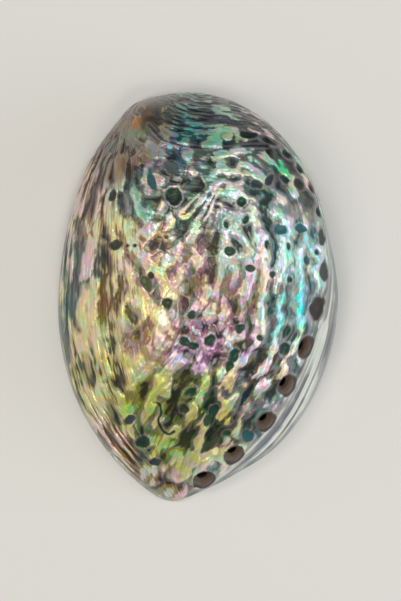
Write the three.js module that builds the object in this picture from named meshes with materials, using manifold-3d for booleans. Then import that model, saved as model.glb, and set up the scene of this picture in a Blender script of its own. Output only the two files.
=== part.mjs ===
// An abalone shell (a sea shell of the genus Haliotis), ground and polished to its mother-of-pearl.
//
// Millimetres, +Z up. The shell lies dome up on the ground edge of its mouth, which is the plane
// z = 0. The origin is the middle of that footprint. +Y points at the spire end, -Y at the pointed
// front lip, and the row of breathing holes runs down the +X side. It grew as one piece, so it is
// one mesh.
import * as THREE from "three";
import Module from "manifold-3d";
import { mergeVertices } from "three/addons/utils/BufferGeometryUtils.js";

// ---------------------------------------------------------------- driving dimensions
const LENGTH = 150;
const WIDTH = 103;
const HEIGHT = 42;
const CROWN_WALL = 3.4; // thickness at the top of the dome
const LIP_WALL = 2.2; // width of the ground edge all round the mouth
const HALF_LENGTH = LENGTH / 2;
const HALF_WIDTH = WIDTH / 2;

// The mouth seen from above, anticlockwise, as shares of the half width and the half length.
const MOUTH_OUTLINE = [
  [1.0, 0.0],
  [0.94, 0.28],
  [0.83, 0.53],
  [0.67, 0.73],
  [0.45, 0.88],
  [0.18, 0.975],
  [-0.12, 1.0],
  [-0.41, 0.95],
  [-0.62, 0.82],
  [-0.79, 0.63],
  [-0.92, 0.37],
  [-0.99, 0.08],
  [-0.985, -0.2],
  [-0.88, -0.48],
  [-0.67, -0.735],
  [-0.4, -0.925],
  [-0.19, -1.0],
  [0.03, -0.95],
  [0.25, -0.875],
  [0.55, -0.74],
  [0.78, -0.54],
  [0.94, -0.28],
];

// ---------------------------------------------------------------- the dome
// A ray from under the crown to the mouth rises as (1 - reach^fullness)^bluntness. The spire and
// hole side is fuller and blunter, so it drops to the mouth as a steep wall.
const CROWN = new THREE.Vector2(-0.05 * HALF_WIDTH, 0.13 * HALF_LENGTH);
const STEEP_SIDE = THREE.MathUtils.degToRad(48);
const FULLNESS = { gentle: 1.95, steep: 2.55 };
const BLUNTNESS = { gentle: 0.86, steep: 0.56 };

// ---------------------------------------------------------------- the hole row
// The row leaves the spire, goes round the back and follows the +X side to the front lip.
const ROW_LINE = [
  [-0.39, 0.9],
  [-0.3, 0.81],
  [-0.12, 0.745],
  [0.1, 0.73],
  [0.33, 0.755],
  [0.5, 0.725],
  [0.64, 0.645],
  [0.745, 0.535],
  [0.81, 0.41],
  [0.845, 0.26],
  [0.85, 0.1],
  [0.815, -0.06],
  [0.735, -0.235],
  [0.615, -0.415],
  [0.47, -0.585],
  [0.255, -0.75],
  [0.04, -0.885],
];
const ROW_RIDGE = { height: 1.4, spread: 3.8 };
const ROW_FURROW = { depth: 0.8, spread: 4.0, offset: 7.0 };
const ROW_GROWN = [0.2, 0.5]; // the ridge and furrow grow to full size over this share of the row
// The five youngest holes are open: where each lies, and its half sizes along and across the row.
const OPEN_HOLES = [
  { at: [0.04, -0.88], along: 4.3, across: 3.5 },
  { at: [0.25, -0.748], along: 4, across: 3.2 },
  { at: [0.465, -0.583], along: 3.8, across: 3 },
  { at: [0.607, -0.412], along: 3.8, across: 2.8 },
  { at: [0.727, -0.232], along: 4, across: 2.5 },
];
const UP = new THREE.Vector3(0, 0, 1);
const HOLE_UPRIGHTNESS = 1; // 0 for holes square to the wall, more for holes nearer to upright

// ---------------------------------------------------------------- the spire
const SPIRE = { at: [-0.38, 0.88], height: 1.7, spread: 6.5 };

// ---------------------------------------------------------------- the plate inside the mouth
// The inner lip is a broad flat plate along the hole side, sloping up into the shell.
const PLATE = {
  least: 0.8,
  most: 7.8,
  slope: 0.38,
  bank: 3.2, // width of the steep bank between the plate and the vault
  middle: THREE.MathUtils.degToRad(28),
  turn: THREE.MathUtils.degToRad(110),
};
const INNER_RELIEF = 0.7; // how much of the outside's relief the hollow follows

// ---------------------------------------------------------------- mesh density
const AROUND = 84;
const OUTER_RINGS = 24;
const PLATE_RINGS = 3;
const BANK_RINGS = 3;
const VAULT_RINGS = 11;
const HOLE_SIDES = 20;
const HOLE_REACH = 14; // length of a hole's cutting bar
const SEARCH_STEPS = 1000; // steps of the search for the surface under a hole
const SLOPE_STEP = 0.002; // step in reach and turn over which the surface's slope is taken
const LIP_FADE = 0.03; // share of the way out, next to the mouth, over which the relief dies away

/** A point given as shares of the half width and the half length, in millimetres. */
function place([x, y]) {
  return new THREE.Vector2(x * HALF_WIDTH, y * HALF_LENGTH);
}

/** A smooth curve through points of the plan. */
function planCurve(shares, closed) {
  const points = shares.map((share) => place(share)).map((p) => new THREE.Vector3(p.x, p.y, 0));
  return new THREE.CatmullRomCurve3(points, closed, "catmullrom", 0.5);
}

const mouthCurve = planCurve(MOUTH_OUTLINE, true);
const rowSamples = planCurve(ROW_LINE, false).getPoints(160);

/** The mouth's edge at turn u, from 0 to 1, as a point of the plan. */
function mouthPoint(u) {
  const p = mouthCurve.getPoint(u % 1);
  return new THREE.Vector2(p.x, p.y);
}

/** 0 on the gentle side of the dome, 1 on its steep side. */
function steepness(direction) {
  return 0.5 + 0.5 * Math.cos(direction - STEEP_SIDE);
}

/** The dome's height, as a share of its crown, at a share of the way out to the mouth. */
function rise(direction, reach) {
  const steep = steepness(direction);
  const fullness = THREE.MathUtils.lerp(FULLNESS.gentle, FULLNESS.steep, steep);
  const bluntness = THREE.MathUtils.lerp(BLUNTNESS.gentle, BLUNTNESS.steep, steep);
  return Math.pow(Math.max(0, 1 - Math.pow(reach, fullness)), bluntness);
}

/** Signed distance from a point of the plan to the hole row, positive outside it, and how grown. */
function rowAt(point) {
  let nearest = 1;
  let least = Infinity;
  rowSamples.forEach((sample, i) => {
    const gap = Math.hypot(point.x - sample.x, point.y - sample.y);
    if (i > 0 && gap < least) [nearest, least] = [i, gap];
  });
  const [a, b] = [rowSamples[nearest - 1], rowSamples[nearest]];
  const turn = (b.x - a.x) * (point.y - b.y) - (b.y - a.y) * (point.x - b.x);
  const age = nearest / (rowSamples.length - 1);
  return { away: Math.sign(turn) * least, grown: THREE.MathUtils.smoothstep(age, ...ROW_GROWN) };
}

/** A smooth bump, 1 at no distance, that dies away over its spread in millimetres. */
function bell(distance, spread) {
  return Math.exp(-((distance / spread) ** 2));
}

/** How far the outside stands proud of the plain dome, in millimetres. */
function relief(point) {
  const { away, grown } = rowAt(point);
  const ridge = ROW_RIDGE.height * bell(away, ROW_RIDGE.spread);
  const furrow = ROW_FURROW.depth * bell(away - ROW_FURROW.offset, ROW_FURROW.spread);
  const spire = SPIRE.height * bell(point.distanceTo(place(SPIRE.at)), SPIRE.spread);
  return (ridge - furrow) * grown + spire;
}

/** The way from under the crown to the mouth's edge at turn u. */
function rayTo(u) {
  return mouthPoint(u).sub(CROWN);
}

/** How far the plain oval of the shell's length and width lies from the crown in a direction. */
function ovalSpan(direction) {
  const way = new THREE.Vector2(Math.cos(direction) / HALF_WIDTH, Math.sin(direction) / HALF_LENGTH);
  const start = new THREE.Vector2(CROWN.x / HALF_WIDTH, CROWN.y / HALF_LENGTH);
  const [a, b, c] = [way.lengthSq(), start.dot(way), start.lengthSq() - 1];
  return (Math.sqrt(b * b - a * c) - b) / a;
}

/** Where a share of the way out lies: near the crown on an oval, at the mouth on its outline. */
function planPoint(ray, reach) {
  const span = THREE.MathUtils.lerp(ovalSpan(ray.angle()), ray.length(), reach ** 2);
  return ray.clone().setLength(span * reach).add(CROWN);
}

/** A point of the plain outer dome. */
function domePoint(u, reach) {
  const ray = rayTo(u);
  const plan = planPoint(ray, reach);
  return new THREE.Vector3(plan.x, plan.y, HEIGHT * rise(ray.angle(), reach));
}

/** How wide the inner lip's plate is in a direction from the crown. */
function plateWidth(direction) {
  const off = Math.abs(Math.atan2(Math.sin(direction - PLATE.middle), Math.cos(direction - PLATE.middle)));
  return THREE.MathUtils.lerp(PLATE.most, PLATE.least, THREE.MathUtils.smoothstep(off, 0, PLATE.turn));
}

/** A point of the plain hollow: the lip's plate, the bank above it and the vault. */
function hollowPoint(u, reach) {
  const ray = rayTo(u);
  const direction = ray.angle();
  ray.setLength(ray.length() - LIP_WALL);
  const plan = planPoint(ray, reach);
  const inward = (1 - reach) * ray.length();
  const plate = plateWidth(direction);
  const vault = (HEIGHT - CROWN_WALL) * rise(direction, reach);
  const open = THREE.MathUtils.smoothstep(inward, plate, plate + bankWidth(plate));
  const height = THREE.MathUtils.lerp(Math.min(vault, PLATE.slope * inward), vault, open);
  return new THREE.Vector3(plan.x, plan.y, height);
}

/** The bank narrows with the plate. */
function bankWidth(plate) {
  return (PLATE.bank * plate) / PLATE.most;
}

/** A surface's point moved along the surface's normal by a share of the relief. */
function raised(surface, u, reach, share) {
  const base = surface(u, reach);
  const along = base.clone().sub(surface(u, Math.max(0, reach - SLOPE_STEP)));
  const turn = surface(u + SLOPE_STEP, reach).sub(surface(u + 1 - SLOPE_STEP, reach));
  const fade = THREE.MathUtils.smoothstep(1 - reach, 0, LIP_FADE);
  const amount = share * fade * relief(new THREE.Vector2(base.x, base.y));
  return base.addScaledVector(along.cross(turn).normalize(), amount);
}

/** The outer rings' reaches, close together where the wall is steep. */
function outerReaches() {
  return Array.from({ length: OUTER_RINGS }, (_, i) => Math.sin(((i + 1) / OUTER_RINGS) * (Math.PI / 2)));
}

/** The inner rings' reaches on one ray, from the vault to the lip, with rings on the plate's edge. */
function innerReaches(u) {
  const ray = rayTo(u);
  const span = ray.length() - LIP_WALL;
  const plate = plateWidth(ray.angle());
  const bank = bankWidth(plate);
  const start = 1 - (plate + bank) / span;
  const steps = (count) => Array.from({ length: count }, (_, i) => (i + 1) / count);
  return [
    ...steps(VAULT_RINGS).map((t) => start * Math.sin(t * (Math.PI / 2))),
    ...steps(BANK_RINGS).map((t) => start + (t * bank) / span),
    ...steps(PLATE_RINGS).map((t) => start + (bank + t * plate) / span),
  ];
}

/** A closed mesh through rings of points, capped by a single point at each end. */
function closedShell(top, rings, bottom) {
  const points = [top, ...rings.flat(), bottom];
  const index = [];
  const at = (ring, i) => 1 + ring * AROUND + (i % AROUND);
  const last = rings.length - 1;
  for (let i = 0; i < AROUND; i++) {
    index.push(0, at(0, i), at(0, i + 1));
    for (let ring = 0; ring < last; ring++) {
      index.push(at(ring, i), at(ring + 1, i), at(ring + 1, i + 1));
      index.push(at(ring, i), at(ring + 1, i + 1), at(ring, i + 1));
    }
    index.push(at(last, i), points.length - 1, at(last, i + 1));
  }
  return new THREE.BufferGeometry().setFromPoints(points).setIndex(index);
}

/** The shell before its holes are cut: outside, ground edge and hollow. */
function blankGeometry() {
  const turns = Array.from({ length: AROUND }, (_, i) => i / AROUND);
  const outer = outerReaches().map((reach) => turns.map((u) => raised(domePoint, u, reach, 1)));
  const columns = turns.map((u) =>
    innerReaches(u).map((reach) => raised(hollowPoint, u, reach, INNER_RELIEF)),
  );
  const inner = columns[0].map((_, ring) => columns.map((column) => column[ring]));
  const crown = new THREE.Vector3(CROWN.x, CROWN.y, HEIGHT);
  const vault = new THREE.Vector3(CROWN.x, CROWN.y, HEIGHT - CROWN_WALL);
  return closedShell(crown, [...outer, ...inner.reverse()], vault);
}

/** The value from 0 to 1, in even steps, at which a function is least. */
function leastAt(cost) {
  const values = Array.from({ length: SEARCH_STEPS }, (_, i) => i / SEARCH_STEPS);
  return values.reduce((a, b) => (cost(b) < cost(a) ? b : a));
}

/** The point of the plain dome above a point of the plan, and the way out of the surface there. */
function surfaceAt(point) {
  const wanted = point.clone().sub(CROWN);
  const u = leastAt((turn) => rayTo(turn).normalize().distanceTo(wanted.clone().normalize()));
  const span = (reach) => planPoint(rayTo(u), reach).distanceTo(CROWN);
  const reach = leastAt((share) => Math.abs(span(share) - wanted.length()));
  const step = 1 / SEARCH_STEPS;
  const along = domePoint(u, reach + step).sub(domePoint(u, reach - step));
  const turn = domePoint(u + step, reach).sub(domePoint(u + 1 - step, reach));
  return { foot: domePoint(u, reach), out: along.cross(turn).normalize() };
}

/** An oval bar through the wall, whose cut makes one open breathing hole. */
function holeCutter({ at, along, across }) {
  const centre = place(at);
  const middle = new THREE.Vector3(centre.x, centre.y, 0);
  const gaps = rowSamples.map((sample) => sample.distanceTo(middle));
  const nearest = Math.min(gaps.indexOf(Math.min(...gaps)), rowSamples.length - 2);
  const { foot, out } = surfaceAt(centre);
  const bore = out.clone().addScaledVector(UP, HOLE_UPRIGHTNESS).normalize();
  const rowWay = rowSamples[nearest + 1].clone().sub(rowSamples[nearest - 1]);
  rowWay.projectOnPlane(bore).normalize();
  const bar = new THREE.CylinderGeometry(1, 1, HOLE_REACH, HOLE_SIDES);
  bar.scale(along, 1, across);
  bar.applyMatrix4(new THREE.Matrix4().makeBasis(rowWay, bore, rowWay.clone().cross(bore)));
  return bar.translate(foot.x, foot.y, foot.z);
}

const wasm = await Module();
wasm.setup();

/** A closed geometry as a solid that can be cut. */
function solid(geometry) {
  const plain = new THREE.BufferGeometry()
    .setAttribute("position", geometry.getAttribute("position"))
    .setIndex(geometry.getIndex());
  const merged = mergeVertices(plain, 1e-4);
  return new wasm.Manifold(
    new wasm.Mesh({
      numProp: 3,
      vertProperties: merged.attributes.position.array,
      triVerts: new Uint32Array(merged.index.array),
    }),
  );
}

/** A cut solid as a geometry. */
function geometryOf(cut) {
  const mesh = cut.getMesh();
  const geometry = new THREE.BufferGeometry()
    .setAttribute("position", new THREE.BufferAttribute(mesh.vertProperties, 3))
    .setIndex(new THREE.BufferAttribute(mesh.triVerts, 1));
  geometry.computeVertexNormals();
  return geometry;
}

/** Moves a geometry sideways so that its footprint is centred on the origin. */
function centred(geometry) {
  geometry.computeBoundingBox();
  const middle = geometry.boundingBox.getCenter(new THREE.Vector3());
  return geometry.translate(-middle.x, -middle.y, 0);
}

/** The whole shell as one mesh. */
function makeShell() {
  const blank = solid(blankGeometry());
  const pierced = OPEN_HOLES.reduce((body, hole) => body.subtract(solid(holeCutter(hole))), blank);
  const nacre = new THREE.MeshStandardMaterial({
    color: 0xb9b8ab,
    roughness: 0.22,
    metalness: 0.35,
  });
  const mesh = new THREE.Mesh(centred(geometryOf(pierced)), nacre);
  mesh.name = "shell";
  return mesh;
}

const abalone = new THREE.Group();
abalone.add(makeShell());

export default abalone;
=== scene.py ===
"""An abalone shell, ground and polished to its mother-of-pearl, lying dome up on a pale floor."""

import logging
import math
from collections.abc import Sequence
from dataclasses import dataclass, field
from enum import Enum

import bmesh
import bpy
import numpy as np
from mathutils import Matrix, Vector, kdtree


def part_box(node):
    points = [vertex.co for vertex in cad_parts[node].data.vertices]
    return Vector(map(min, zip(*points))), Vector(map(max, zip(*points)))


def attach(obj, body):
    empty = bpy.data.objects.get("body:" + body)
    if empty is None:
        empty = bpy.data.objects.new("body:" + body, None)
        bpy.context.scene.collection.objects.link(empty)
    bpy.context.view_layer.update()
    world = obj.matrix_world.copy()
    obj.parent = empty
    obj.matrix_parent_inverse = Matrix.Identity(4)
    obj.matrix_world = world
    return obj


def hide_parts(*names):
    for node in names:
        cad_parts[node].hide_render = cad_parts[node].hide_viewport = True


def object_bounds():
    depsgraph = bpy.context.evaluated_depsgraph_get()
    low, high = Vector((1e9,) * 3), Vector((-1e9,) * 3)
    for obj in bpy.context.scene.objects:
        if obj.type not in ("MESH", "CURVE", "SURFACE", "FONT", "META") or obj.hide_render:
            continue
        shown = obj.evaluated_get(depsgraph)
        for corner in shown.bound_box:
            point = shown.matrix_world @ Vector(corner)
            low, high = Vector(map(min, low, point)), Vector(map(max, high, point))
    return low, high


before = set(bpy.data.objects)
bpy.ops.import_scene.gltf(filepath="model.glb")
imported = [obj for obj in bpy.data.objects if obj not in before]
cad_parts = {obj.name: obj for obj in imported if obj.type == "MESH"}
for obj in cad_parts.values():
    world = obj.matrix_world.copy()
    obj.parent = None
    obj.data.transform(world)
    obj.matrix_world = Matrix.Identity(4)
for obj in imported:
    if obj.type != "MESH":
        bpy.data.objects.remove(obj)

log = logging.getLogger("abalone")

MM = 0.001
NODE = "shell"
CAD_LOW, CAD_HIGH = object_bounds()

Span = tuple[float, float]
Numbers = np.ndarray
Socket = bpy.types.NodeSocket


# ------------------------------------------------------------------------------------ small sums
def smooth_step(value: Numbers, low: float, high: float) -> Numbers:
    """A smooth rise from 0 at low to 1 at high."""
    share = np.clip((value - low) / (high - low), 0.0, 1.0)
    return share * share * (3.0 - 2.0 * share)


def bell(distance: Numbers, spread: float) -> Numbers:
    """A smooth bump, 1 at no distance."""
    return np.exp(-((distance / spread) ** 2))


def lerp(low: Numbers, high: Numbers, share: Numbers) -> Numbers:
    """The value a share of the way from low to high."""
    return low + (high - low) * share


@dataclass(frozen=True)
class Ripple:
    """Smooth random waves over a plane, the same on every run.

    Attributes:
        seed: picks one of many such patterns.
        across: the size of a wave along the first coordinate.
        along: the size of a wave along the second coordinate.
    """

    seed: int
    across: float
    along: float
    lattice: int = 128

    def at(self, x: Numbers, y: Numbers) -> Numbers:
        """The waves' height, from -1 to 1.

        Args:
            x: first coordinates, in the units of the wave sizes.
            y: second coordinates.

        Returns:
            One height for each point.
        """
        heights = np.random.default_rng(self.seed).uniform(-1.0, 1.0, (self.lattice, self.lattice))
        u, v = x / self.across, y / self.along
        i, j = np.floor(u).astype(int), np.floor(v).astype(int)
        fu, fv = smooth_step(u - i, 0.0, 1.0), smooth_step(v - j, 0.0, 1.0)
        corner = [
            heights[(i + di) % self.lattice, (j + dj) % self.lattice]
            for di in (0, 1)
            for dj in (0, 1)
        ]
        near = lerp(corner[0], corner[1], fv)
        far = lerp(corner[2], corner[3], fv)
        return lerp(near, far, fu)


@dataclass(frozen=True)
class Cells:
    """Irregular cells over a plane, the same on every run.

    Attributes:
        seed: picks one of many such layouts.
        across: the mean width of a cell along the first coordinate.
        along: the mean length of a cell along the second coordinate.
    """

    seed: int
    across: float
    along: float
    lattice: int = 96

    def at(self, x: Numbers, y: Numbers) -> tuple[Numbers, ...]:
        """The cell that each point lies in.

        Args:
            x: first coordinates, in the units of the cell sizes.
            y: second coordinates.

        Returns:
            How far the edge of the cell is, 0 on it and about 0.5 in the middle; two numbers
            from 0 to 1 that every cell has of its own; and how far the point lies along the
            cell's own slant, from about -0.6 to 0.6.
        """
        random = np.random.default_rng(self.seed)
        spots = random.uniform(0.08, 0.92, (self.lattice, self.lattice, 2))
        lucks = random.uniform(0.0, 1.0, (self.lattice, self.lattice, 2))
        u, v = x / self.across, y / self.along
        i, j = np.floor(u).astype(int), np.floor(v).astype(int)
        nearest, second = np.full(x.shape, 9.0), np.full(x.shape, 9.0)
        own = np.zeros(x.shape + (2,))
        slant = np.zeros(x.shape)
        for di in (-1, 0, 1):
            for dj in (-1, 0, 1):
                spot = spots[(i + di) % self.lattice, (j + dj) % self.lattice]
                du, dv = i + di + spot[..., 0] - u, j + dj + spot[..., 1] - v
                gap = np.hypot(du, dv)
                closer = gap < nearest
                second = np.where(closer, nearest, np.minimum(second, gap))
                nearest = np.where(closer, gap, nearest)
                luck = lucks[(i + di) % self.lattice, (j + dj) % self.lattice]
                own = np.where(closer[..., None], luck, own)
                turn = 2 * math.pi * (luck[..., 0] + luck[..., 1])
                slant = np.where(closer, du * np.cos(turn) + dv * np.sin(turn), slant)
        return second - nearest, own[..., 0], own[..., 1], slant


# ------------------------------------------------------------------------------------ colours
class Hue(Enum):
    """The colours of polished abalone, as a painter would mix them (sRGB)."""

    BLACK_GREEN = (0.03, 0.07, 0.05)
    BOTTLE = (0.05, 0.15, 0.11)
    MOSS = (0.07, 0.21, 0.15)
    DEEP_TEAL = (0.03, 0.13, 0.16)
    TEAL = (0.13, 0.33, 0.36)
    SLATE = (0.16, 0.2, 0.24)
    BLUE_GREY = (0.36, 0.42, 0.48)
    BLUE_GREEN = (0.46, 0.66, 0.67)
    TURQUOISE = (0.5, 0.84, 0.85)
    ICE = (0.82, 0.93, 0.95)
    SILVER = (0.66, 0.69, 0.68)
    SILVER_GREEN = (0.52, 0.57, 0.5)
    DIM_SILVER = (0.46, 0.48, 0.47)
    STEEL = (0.3, 0.34, 0.34)
    SMOKE = (0.24, 0.23, 0.22)
    WHITE = (0.96, 0.96, 0.95)
    LAVENDER = (0.88, 0.82, 0.95)
    PINK_WHITE = (0.95, 0.86, 0.87)
    PINK = (0.92, 0.74, 0.86)
    MAUVE = (0.6, 0.46, 0.55)
    MAUVE_BEIGE = (0.6, 0.5, 0.48)
    PLUM = (0.24, 0.13, 0.2)
    TAUPE = (0.3, 0.23, 0.17)
    MUSHROOM = (0.42, 0.36, 0.33)
    BEIGE = (0.62, 0.53, 0.43)
    TAN = (0.58, 0.45, 0.32)
    CREAM = (0.95, 0.9, 0.76)
    PALE_YELLOW = (0.95, 0.92, 0.68)
    GOLD = (0.6, 0.55, 0.35)
    STRAW = (0.72, 0.67, 0.47)
    WHEAT = (0.8, 0.75, 0.6)
    YELLOW_GREEN = (0.54, 0.54, 0.35)
    LIME = (0.84, 0.9, 0.62)
    MINT = (0.55, 0.9, 0.7)
    LEAF = (0.46, 0.5, 0.33)
    OLIVE = (0.3, 0.32, 0.17)
    DARK_OLIVE = (0.15, 0.16, 0.07)
    OLIVE_BROWN = (0.2, 0.16, 0.07)
    BROWN = (0.2, 0.13, 0.08)
    CHESTNUT = (0.33, 0.24, 0.18)
    UMBER = (0.42, 0.34, 0.3)
    AMBER = (0.7, 0.55, 0.38)
    PALE_GREEN = (0.74, 0.86, 0.76)

    def linear(self) -> tuple[float, float, float, float]:
        """The colour as a shader reads it."""
        return tuple(((c + 0.055) / 1.055) ** 2.4 for c in self.value) + (1.0,)


@dataclass(frozen=True)
class Patch:
    """The colours round one place of the shell.

    Attributes:
        at: where, as shares of the half width and the half length.
        painted_shade: the colour of the dips, the nacre's hue there darkened as painted shade.
        tint: the colour of the slopes.
        painted_highlight: the colour of the crests, pale as a painted highlight.
    """

    at: Span
    painted_shade: Hue
    tint: Hue
    painted_highlight: Hue


PATCHES = (
    Patch((-0.39, 0.89), Hue.BROWN, Hue.CHESTNUT, Hue.AMBER),
    Patch((-0.33, 0.95), Hue.BROWN, Hue.OLIVE_BROWN, Hue.TAN),
    Patch((-0.5, 0.66), Hue.TAUPE, Hue.MAUVE_BEIGE, Hue.BEIGE),
    Patch((-0.45, 0.76), Hue.TAUPE, Hue.SILVER_GREEN, Hue.BEIGE),
    Patch((-0.6, 0.72), Hue.TAUPE, Hue.MAUVE_BEIGE, Hue.DIM_SILVER),
    Patch((-0.7, 0.46), Hue.TAUPE, Hue.BEIGE, Hue.PINK_WHITE),
    Patch((-0.85, 0.17), Hue.STEEL, Hue.SILVER_GREEN, Hue.PINK_WHITE),
    Patch((-0.92, -0.1), Hue.TEAL, Hue.SILVER_GREEN, Hue.CREAM),
    Patch((-0.92, -0.28), Hue.STEEL, Hue.STRAW, Hue.PINK_WHITE),
    Patch((-0.78, -0.2), Hue.OLIVE, Hue.WHEAT, Hue.CREAM),
    Patch((-0.8, -0.46), Hue.OLIVE, Hue.STRAW, Hue.CREAM),
    Patch((-0.66, -0.03), Hue.TAN, Hue.WHEAT, Hue.CREAM),
    Patch((-0.6, -0.3), Hue.OLIVE, Hue.WHEAT, Hue.PALE_YELLOW),
    Patch((-0.7, -0.14), Hue.GOLD, Hue.WHEAT, Hue.CREAM),
    Patch((-0.6, 0.3), Hue.TAUPE, Hue.BEIGE, Hue.CREAM),
    Patch((-0.32, 0.26), Hue.MUSHROOM, Hue.BEIGE, Hue.PINK_WHITE),
    Patch((-0.32, -0.01), Hue.MUSHROOM, Hue.MAUVE_BEIGE, Hue.CREAM),
    Patch((-0.36, -0.2), Hue.MUSHROOM, Hue.BEIGE, Hue.MAUVE_BEIGE),
    Patch((-0.45, -0.34), Hue.MUSHROOM, Hue.STRAW, Hue.CREAM),
    Patch((-0.05, 0.17), Hue.MUSHROOM, Hue.MAUVE_BEIGE, Hue.PINK_WHITE),
    Patch((0.05, -0.02), Hue.MUSHROOM, Hue.MAUVE_BEIGE, Hue.PINK_WHITE),
    Patch((0.08, -0.16), Hue.PLUM, Hue.MAUVE, Hue.PINK),
    Patch((-0.02, -0.24), Hue.PLUM, Hue.MAUVE, Hue.LAVENDER),
    Patch((0.01, 0.42), Hue.SMOKE, Hue.DIM_SILVER, Hue.WHITE),
    Patch((-0.19, 0.63), Hue.SLATE, Hue.BLUE_GREY, Hue.LAVENDER),
    Patch((-0.24, 0.46), Hue.SMOKE, Hue.DIM_SILVER, Hue.PINK_WHITE),
    Patch((-0.38, 0.42), Hue.STEEL, Hue.DIM_SILVER, Hue.PALE_GREEN),
    Patch((-0.12, 0.36), Hue.SMOKE, Hue.STEEL, Hue.CREAM),
    Patch((0.3, 0.58), Hue.STEEL, Hue.DIM_SILVER, Hue.WHITE),
    Patch((0.49, 0.4), Hue.STEEL, Hue.SILVER, Hue.WHITE),
    Patch((0.62, 0.22), Hue.TEAL, Hue.SILVER, Hue.ICE),
    Patch((0.62, -0.04), Hue.TEAL, Hue.DIM_SILVER, Hue.TURQUOISE),
    Patch((0.3, 0.2), Hue.STEEL, Hue.SILVER, Hue.PINK_WHITE),
    Patch((0.35, 0.0), Hue.MUSHROOM, Hue.MAUVE_BEIGE, Hue.PINK_WHITE),
    Patch((0.45, -0.31), Hue.SMOKE, Hue.TAUPE, Hue.PINK_WHITE),
    Patch((0.66, -0.18), Hue.BOTTLE, Hue.STEEL, Hue.PALE_GREEN),
    Patch((0.3, -0.33), Hue.SMOKE, Hue.TAUPE, Hue.LAVENDER),
    Patch((0.25, -0.45), Hue.SLATE, Hue.DIM_SILVER, Hue.CREAM),
    Patch((-0.05, -0.42), Hue.OLIVE, Hue.LEAF, Hue.LIME),
    Patch((0.08, -0.55), Hue.BOTTLE, Hue.OLIVE, Hue.PALE_YELLOW),
    Patch((-0.2, -0.5), Hue.OLIVE_BROWN, Hue.YELLOW_GREEN, Hue.LIME),
    Patch((-0.46, -0.48), Hue.OLIVE_BROWN, Hue.YELLOW_GREEN, Hue.LIME),
    Patch((-0.33, -0.68), Hue.BOTTLE, Hue.LEAF, Hue.PALE_YELLOW),
    Patch((-0.12, -0.72), Hue.OLIVE, Hue.YELLOW_GREEN, Hue.LIME),
    Patch((0.1, -0.68), Hue.DARK_OLIVE, Hue.OLIVE, Hue.CREAM),
    Patch((-0.2, -0.9), Hue.TAUPE, Hue.BEIGE, Hue.PINK_WHITE),
    Patch((-0.58, -0.7), Hue.TAUPE, Hue.TAN, Hue.PINK_WHITE),
    Patch((-0.1, 0.92), Hue.BLACK_GREEN, Hue.BOTTLE, Hue.BLUE_GREEN),
    Patch((-0.24, 0.93), Hue.BLACK_GREEN, Hue.DARK_OLIVE, Hue.GOLD),
    Patch((-0.05, 0.78), Hue.DEEP_TEAL, Hue.TEAL, Hue.BLUE_GREEN),
    Patch((0.2, 0.8), Hue.DEEP_TEAL, Hue.SLATE, Hue.PALE_GREEN),
    Patch((0.42, 0.8), Hue.BLACK_GREEN, Hue.BOTTLE, Hue.PINK_WHITE),
    Patch((0.66, 0.66), Hue.BLACK_GREEN, Hue.BOTTLE, Hue.MINT),
    Patch((0.74, 0.5), Hue.BOTTLE, Hue.STEEL, Hue.PINK_WHITE),
    Patch((0.9, 0.27), Hue.BLUE_GREY, Hue.SILVER, Hue.ICE),
    Patch((0.93, -0.1), Hue.BLUE_GREY, Hue.DIM_SILVER, Hue.WHITE),
    Patch((0.78, -0.45), Hue.BLUE_GREY, Hue.SILVER, Hue.WHITE),
    Patch((0.5, -0.68), Hue.BLUE_GREY, Hue.SILVER, Hue.WHITE),
    Patch((0.2, -0.85), Hue.BLUE_GREY, Hue.SILVER, Hue.WHITE),
)


# ------------------------------------------------------------------------------------ plan curves
def nearest_on(line: Numbers, x: Numbers, y: Numbers) -> tuple[Numbers, Numbers]:
    """The nearest of a line's points to each of many others.

    Args:
        line: x and y pairs.
        x: first coordinates of the other points.
        y: second coordinates of the other points.

    Returns:
        The distances, and the places of the nearest points in the line.
    """
    best = np.full(x.shape, np.inf)
    nearest = np.zeros(x.shape, dtype=int)
    for i, (px, py) in enumerate(line):
        gap = np.hypot(x - px, y - py)
        closer = gap < best
        best[closer], nearest[closer] = gap[closer], i
    return best, nearest


@dataclass(frozen=True)
class PlanCurve:
    """A smooth curve of the plan through points given as shares of the half sizes."""

    shares: tuple[Span, ...]
    closed: bool
    half: Span

    def at(self, turn: Numbers) -> Numbers:
        """Points of the curve.

        Args:
            turn: how far along each point is, from 0 to 1, each stretch between two given
                points counting the same.

        Returns:
            One x and y pair, in metres, for each turn.
        """
        points = np.array(self.shares) * np.array(self.half)
        count = len(points)
        if self.closed:
            ring = np.vstack([points[-1:], points, points[:2]])
            place = (np.asarray(turn) % 1.0) * count
        else:
            ring = np.vstack([2 * points[0] - points[1], points, 2 * points[-1] - points[-2]])
            place = np.clip(turn, 0.0, 1.0) * (count - 1)
        last = count - 1 if self.closed else count - 2
        start = np.minimum(np.floor(place).astype(int), last)
        t = (place - start)[..., None]
        before, a, b, after = (ring[start + k] for k in range(4))
        return 0.5 * (
            2 * a
            + (b - before) * t
            + (2 * before - 5 * a + 4 * b - after) * t**2
            + (3 * a - before - 3 * b + after) * t**3
        )


MOUTH_OUTLINE: tuple[Span, ...] = (
    (1.0, 0.0), (0.94, 0.28), (0.83, 0.53), (0.67, 0.73), (0.45, 0.88), (0.18, 0.975),
    (-0.12, 1.0), (-0.41, 0.95), (-0.62, 0.82), (-0.79, 0.63), (-0.92, 0.37), (-0.99, 0.08),
    (-0.985, -0.2), (-0.88, -0.48), (-0.67, -0.735), (-0.4, -0.925), (-0.19, -1.0),
    (0.03, -0.95), (0.25, -0.875), (0.55, -0.74), (0.78, -0.54), (0.94, -0.28),
)  # fmt: skip
SPIRE_TURN, TIP_TURN = 7 / 22, 16 / 22  # where the outline passes the spire and the front lip

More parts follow.
